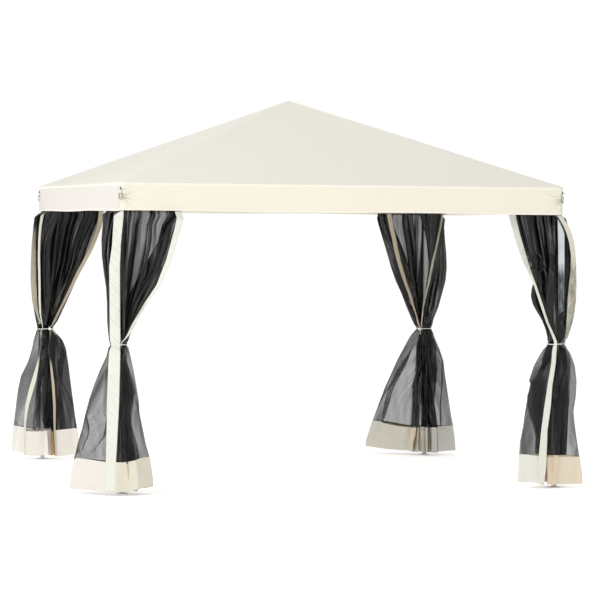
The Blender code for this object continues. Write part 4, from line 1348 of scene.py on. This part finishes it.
        # How many widths of net the cloth stands for: gathered and steep cloth counts more
        v = self.v
        own = np.gradient(line, axis=0)
        run = unitRows(np.gradient(smoothed(line, 0.40 / self.step), axis=0))
        length = np.maximum(np.linalg.norm(own, axis=1), 1e-9)
        facing = np.abs((own * run).sum(axis=1)) / length
        gathered = np.clip(self.step / smoothed(length, 4), 1.0, v["mostGathered"])
        atOpen, atStrip = self.look["dense"]
        past = smoothStep(*v["denseEdge"], self.away - v["strip"])
        dense = (atOpen * past + atStrip * (1 - past)) * smoothStep(*v["denseEdge"], v["wall"] - self.away)
        low, high = v["denseRise"]
        dense = dense * v["dense"] * float(smoothStep(tieZ + low, tieZ + high, z))
        share, across, down = v["denseUneven"]
        dense = dense * (1 + share * self.wander(across * self.cloth + 3.0, down * z))
        layers = np.clip(gathered / np.maximum(facing, v["leastFacing"]) ** 0.7, 1.0, v["mostDepth"])
        return smoothed(layers * (1 + dense), 2)

    def fitEdges(self, line, z, share):  # draws the cloth out or in to its reach in the photograph
        left, right = tableAt(self.look["edges"], z)
        across = self.seen(line)[0]
        middle = float(self.tie @ planRight)
        scaleLeft = (middle + left) / max(middle - across.min(), 1e-3)
        scaleRight = (right - middle) / max(across.max() - middle, 1e-3)
        scale = np.where(across < middle, scaleLeft, scaleRight)
        shift = (across - middle) * (np.clip(scale, *self.v["stretch"]) - 1) * share
        return line + shift[:, None] * planRight

    def holdIn(self, line, z):  # keeps the cloth within the tie, off the leg and behind the valance
        v = self.v
        off = abs(z - tieZ)
        reach = self.look["tie"][2] - 0.004 + 0.9 * max(off - 0.006, 0.0)
        apart = line - self.tie
        length = np.linalg.norm(apart, axis=1)
        loose = float(smoothStep(*v["loosen"], off))
        held = np.where(length > reach, reach + (length - reach) * loose, length)
        line = self.tie + apart * (held / np.maximum(length, 1e-6))[:, None]
        length = np.linalg.norm(line, axis=1)
        line = line * (np.maximum(length, v["legClear"]) / np.maximum(length, 1e-6))[:, None]
        beyond = np.full(len(self.cloth), 1.0)
        for span in self.spans.values():
            beyond = np.minimum(beyond, outside(self.cloth, *sorted(span)))
        near = float(smoothStep(valanceLow - 0.10, valanceLow, z))
        behind = v["behind"][0] * smoothStep(0.0, v["behind"][1], beyond) * near
        inside = legAt - (roofHalf - netFace) + behind - v["release"] * max(valanceLow - 0.010 - z, 0.0)
        return np.maximum(line * -self.signs, inside[:, None]) * -self.signs

    def measure(self):  # lengths down each column from the tie, evened out across the folds
        v = self.v
        first = self.firstLower
        even = smoothed(self.rows[first:].transpose(1, 0, 2).reshape(len(self.cloth), -1), 26)
        even = even.reshape(len(self.cloth), -1, 2).transpose(1, 0, 2)
        across = np.linalg.norm(np.diff(even, axis=0), axis=2)
        down = -np.diff(self.level[first:])[:, None]
        steps = np.sqrt(across ** 2 + down ** 2)
        length = np.concatenate([np.zeros((1, len(self.cloth))), np.cumsum(steps, axis=0)])
        reach = [np.interp(-v["hemZ"], -self.level[first:], length[:, c]) for c in range(len(self.cloth))]
        below = float(min(reach))
        level = np.interp(self.cloth, (-0.1, 0.1), self.look["level"])  # the hem hangs level where this is 1
        self.lowerLength = length * (1 + level * (below / np.array(reach) - 1))
        self.above = v["topZ"] - tieZ
        self.total = self.above + below

    def between(self, columns):  # for each column, the two of the cloth that it lies between
        for c, slot in enumerate((np.asarray(columns) + self.v["wall"]) / self.step):
            k = min(int(slot), len(self.cloth) - 2)
            yield c, k, slot - k

    def at(self, columns, lengths):  # columns: cloth from the middle; lengths: cloth from the top
        grid = np.zeros((len(lengths), len(columns), 3))
        for c, k, mix in self.between(columns):
            track = self.rows[:, k] * (1 - mix) + self.rows[:, k + 1] * mix
            length = self.lowerLength[:, k] * (1 - mix) + self.lowerLength[:, k + 1] * mix
            low = np.interp(np.asarray(lengths) - self.above, length, self.level[self.firstLower:])
            z = np.where(lengths < self.above, self.v["topZ"] - lengths, low)
            grid[:, c, 0] = self.signs[0] * legAt + np.interp(-z, -self.level, track[:, 0])
            grid[:, c, 1] = self.signs[1] * legAt + np.interp(-z, -self.level, track[:, 1])
            grid[:, c, 2] = z
        return grid

    def uvs(self, columns, lengths):
        across, down = np.meshgrid(np.asarray(columns) + self.v["wall"], lengths)
        return np.stack([across, down], axis=-1)

    def depthMap(self, columns, zs):  # the depths at each place of a laid-out grid, whose heights are zs
        grid = np.zeros((*zs.shape, 2))
        for c, k, mix in self.between(columns):
            track = self.depths[:, k] * (1 - mix) + self.depths[:, k + 1] * mix
            grid[:, c, 0] = np.interp(-zs[:, c], -self.level, track)
        return grid / depthScale

    def sheet(self, name, columns, lengths, material, lift=0.0):
        grid = self.at(columns, lengths)
        if lift:
            grid = grid + gridNormals(grid) * (lift * self.facing)
        piece = gridObject(name, grid, material, self.uvs(columns, lengths))
        addMap(piece.data, "drape", self.depthMap(columns, grid[..., 2]))
        if self.facing > 0:
            piece.data.flip_normals()
        return piece

    def binding(self, name, columns, lengths, material, ripple=0.0, oneSided=False):
        # A closed thin band that wraps the net, or lies on its outer side only
        grid = self.at(columns, lengths)
        uvs = self.uvs(columns, lengths)
        waves = [np.sin(a * uvs[..., 0] + b * uvs[..., 1]) for a, b in self.v["rippleRates"]]
        swell = 1 + ripple * waves[0] * waves[1]
        normal = gridNormals(grid) * (self.v["binding"] * swell)[..., None] * self.facing
        other = grid + self.v["outerShare"] * normal if oneSided else grid - normal
        return closedBand(name, [grid + normal, other], uvs, material)


def makeCurtain(name, look, v):
    curtain = Curtain(name, look, v)
    netLength = curtain.total - v["skirt"]
    lengths = np.linspace(0.0, netLength, v["netRows"] + 1)
    material = netMaterial(f"blackNet_{name}", look["netCover"], netValues)
    net = curtain.sheet(f"net_{name}", curtain.cloth, lengths, material)
    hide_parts(f"net_curtain_{name}")
    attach(net, "root")
    lengths = np.linspace(netLength - v["lap"], curtain.total, v["skirtRows"] + 1)
    material = skirtMaterial(f"skirtCloth_{name}", look["skirtPaintedShade"], skirtValues)
    skirt = curtain.sheet(f"skirtCloth_{name}", curtain.cloth, lengths, material, v["skirtLift"])
    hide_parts(f"skirt_{name}")
    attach(skirt, "root")
    makeBands(name, curtain, v)
    return curtain


def makeBands(name, curtain, v):
    netLength = curtain.total - v["skirt"]
    upper = np.linspace(0.0, netLength, v["netRows"] + 1)
    lower = np.linspace(netLength, curtain.total - v["bandShort"], v["skirtRows"])
    lengths = np.concatenate([upper, lower[1:]])
    half = v["strip"] + v["bandOver"]
    wall, tapes = v["wall"], curtain.look["tapes"]
    side, front = tapes["side"], tapes["front"]
    bands = {
        "cornerStrip": (-half, half, 0.5, tapes["strip"]),
        "sideTape": (-wall, -wall + side[1], 0.0, side[0]),
        "frontTape": (wall - front[1], wall, 0.3, front[0]),
    }
    for label, (first, last, ripple, cloth) in bands.items():
        inner = curtain.cloth[(curtain.cloth > first + 0.001) & (curtain.cloth < last - 0.001)]
        columns = np.concatenate([[first], inner, [last]])
        reach = lengths
        if label == "sideTape" and len(side) > 2:  # the rest of it lies out of sight in the folds
            reach = lengths[lengths < side[2]]
        oneSided = label == "cornerStrip" and curtain.look.get("stripOutside", False)
        piece = curtain.binding(f"{label}_{name}", columns, reach, bandCloths[cloth], ripple, oneSided)
        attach(piece, "root")


curtains = {}
for name in cornerNames:
    curtains[name] = makeCurtain(name, cornerLooks[name], curtainValues)
    print("curtain made", name)


# Ties round the gathered nets

tieValues = {
    "clear": 0.0015,
    "cord": 0.0024,
    "least": 0.03,  # smallest radius of the loop
    "toggle": 0.0105,
    "tails": ((1.0, 0.042, 1.0), (-0.5, 0.0294, -0.6)),  # lean across, length and fall of each
    "tailCord": 0.8,  # of the loop's cord
    "outward": 0.55,
    "toggleOut": 0.6,  # of its radius
    "feel": 0.35,  # how far round, each way, the loop feels for the widest fold
    "waves": ((0.0035, 1, 0.6), (0.0012, 3, 0.0)),  # rise and fall round the loop: height, count, start
}


def toggleParts(place, radius):  # a round cord toggle with a groove about its middle
    half = [(0.30, 0.95), (0.70, 0.72), (0.96, 0.35), (0.86, 0.06)]
    profile = half + [(r, -h) for r, h in reversed(half)]
    path = [(place[0], place[1], place[2] + radius * h) for _, h in profile]
    return tubeParts(path, [radius * r for r, _ in profile], 14)


def makeTie(name, curtain, v):
    centre = np.array([curtain.signs[0] * legAt, curtain.signs[1] * legAt]) + curtain.tie
    angles = np.linspace(0, math.tau, 121)[:-1]
    ring = curtain.rows[np.argmin(np.abs(curtain.level - tieZ))] - curtain.tie
    reach = np.hypot(*ring.T)
    turn = np.arctan2(ring[:, 1], ring[:, 0])
    loop = []
    for a in angles:
        near = np.abs((turn - a + math.pi) % math.tau - math.pi) < v["feel"]
        widest = reach[near].max() if near.any() else v["least"]
        loop.append(max(widest, v["least"]) + v["cord"] + v["clear"])
    out = np.array(loop)
    for _ in range(3):
        out = np.maximum(out, (np.roll(out, 3) + np.roll(out, -3)) / 2)
    z = tieZ + sum(height * np.sin(count * angles + start) for height, count, start in v["waves"])
    path = np.stack([centre[0] + out * np.cos(angles), centre[1] + out * np.sin(angles), z], axis=-1)
    knotTurn, lean = curtain.look["knot"]
    way = toPlan(math.cos(knotTurn), math.sin(knotTurn))
    nearest = np.argmin(np.abs((angles - math.atan2(way[1], way[0]) + math.pi) % math.tau - math.pi))
    outwards, along = np.array([*way, 0.0]), np.array([*planRight, 0.0])
    knot = path[nearest] + v["toggleOut"] * v["toggle"] * outwards
    parts = [tubeParts(path, v["cord"], 8, closed=True), toggleParts(knot, v["toggle"])]
    steps = np.linspace(0, 1, 7)[:, None]
    for share, length, fall in v["tails"]:
        hang = along * (share * lean) * length * steps + np.array([0, 0, -fall * length]) * steps ** 1.6
        aside = outwards * length * v["outward"] * steps
        parts.append(tubeParts(knot + hang + aside, v["tailCord"] * v["cord"], 7))
    tie = joined(f"tieCord_{name}", parts, whiteCord)
    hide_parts(f"tie_{name}")
    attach(tie, "root")


for name in cornerNames:
    makeTie(name, curtains[name], tieValues)
print("ties made")


# Rings and tabs at the corners of the valance

ringValues = {
    "height": 0.082,
    "width": 0.0145,
    "tall": 0.019,
    "wire": 0.0023,
    "out": 0.0045,
    "tabWidth": 0.008,
    "narrow": 0.25,  # of the ring's upper half
    "tabRise": 0.020,  # above and below the ring's top
    "tabDrop": 0.004,
    "tabBulge": (0.0062, 0.010),  # over the ring's wire: how far out, and over what height
    "tabSides": (0.0026, 0.0012),
    "slitOut": 0.0022,
    "slit": ((-0.002, 0.002), (0.004, 0.0032), (0.012, 0.0032), (0.016, 0.002)),  # height, radius
}


def aroundCorner(signs, along, out):  # along runs from the side face (below 0) to the front or back face
    turned = roofValues["cornerRound"]
    radius = turned + out
    bend = radius * math.pi / 4
    centre = roofHalf - turned
    if abs(along) <= bend:
        angle = math.pi / 4 + along / radius
        place = (centre + radius * math.cos(angle), centre + radius * math.sin(angle))
    elif along > 0:
        place = (centre - (along - bend), roofHalf + out)
    else:
        place = (roofHalf + out, centre - (-along - bend))
    return place[0] * signs[0], place[1] * signs[1]


def makeRing(name, signs, v):
    middle = eaveTop - v["height"]
    top = middle + v["tall"]
    steps = np.linspace(0, math.tau, 49)[:-1]
    wide = v["width"] * np.cos(steps) * (1 - v["narrow"] * np.sin(steps))
    heights = [middle + v["tall"] * math.sin(a) for a in steps]
    path = [(*aroundCorner(signs, w, v["out"]), z) for w, z in zip(wide, heights)]
    ring = joined(f"cornerRing_{name}", [tubeParts(path, v["wire"], 8, closed=True)], zincSteel)
    rows = np.linspace(top + v["tabRise"], top - v["tabDrop"], 12)
    columns = np.linspace(-v["tabWidth"], v["tabWidth"], 9)
    sides = []
    out, over = v["tabBulge"]
    for lift in v["tabSides"]:
        bulge = [lift + out * smoothStep(over, 0.0, z - middle - v["tall"]) for z in rows]
        places = [[(*aroundCorner(signs, c, b), z) for c in columns] for z, b in zip(rows, bulge)]
        sides.append(np.array(places))
    uvs = np.array([[(c, z) for c in columns] for z in rows])
    tab = closedBand(f"cornerTab_{name}", sides, uvs, bandCloths["paleTape"])
    slit = [(*aroundCorner(signs, 0.0, v["slitOut"]), top + v["tabRise"] + h) for h, _ in v["slit"]]
    eyeletParts = tubeParts(slit, [radius for _, radius in v["slit"]], 8)
    eyelet = joined(f"cornerEyelet_{name}", [eyeletParts], bandCloths["blackTape"])
    for piece, slot in ((ring, "powder_coat"), (tab, "roof_cloth"), (eyelet, "nylon")):
        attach(piece, "root")


for name, signs in zip(cornerNames, cornerSigns):
    makeRing(name, signs, ringValues)
print("corner rings made")


# The frame keeps its own solids, in powder coat and nylon

for nodeName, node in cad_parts.items():
    if nodeName.startswith(("leg_", "truss_", "centre_")):
        node.material_slots[0].material = powderCoat
    if nodeName.startswith(("corner_", "hub_")):
        node.material_slots[0].material = whiteNylon
print("frame dressed")


# Floor, light and background

stageValues = {
    "floor": 60.0,  # from the middle to each side
    "sky": 0.73,  # light that falls on the tent; the background itself shows as white
    "white": 1.02,
    "keyFrom": (-11.6, -7.6, 9.2),
    "keyTo": (0.0, 0.0, 1.3),
    "keySize": 6.0,
    "keyPower": 860.0,
}


def makeStage(v):
    corners = [(x * v["floor"], y * v["floor"], 0) for x, y in ((-1, -1), (1, -1), (1, 1), (-1, 1))]
    floor = meshObject("floor", corners, [(0, 1, 2, 3)], whiteFloor)
    world = bpy.data.worlds.new("studio")
    world.use_nodes = True
    tree = world.node_tree
    background = tree.nodes["Background"]
    background.inputs["Color"].default_value = (1.0, 1.0, 1.0, 1.0)
    toCamera = tree.nodes.new("ShaderNodeLightPath").outputs["Is Camera Ray"]
    strength = mathNode(tree, "MULTIPLY_ADD", toCamera, v["white"] - v["sky"], v["sky"])
    tree.links.new(strength, background.inputs["Strength"])
    bpy.context.scene.world = world
    bpy.context.scene.view_settings.view_transform = "Standard"


def makeKeyLight(v):
    data = bpy.data.lights.new("keyLight", "AREA")
    data.size = v["keySize"]
    data.energy = v["keyPower"]
    light = bpy.data.objects.new("keyLight", data)
    light.location = v["keyFrom"]
    direction = Vector(v["keyTo"]) - Vector(v["keyFrom"])
    light.rotation_euler = direction.to_track_quat("-Z", "Y").to_euler()
    bpy.context.collection.objects.link(light)


makeStage(stageValues)
makeKeyLight(stageValues)
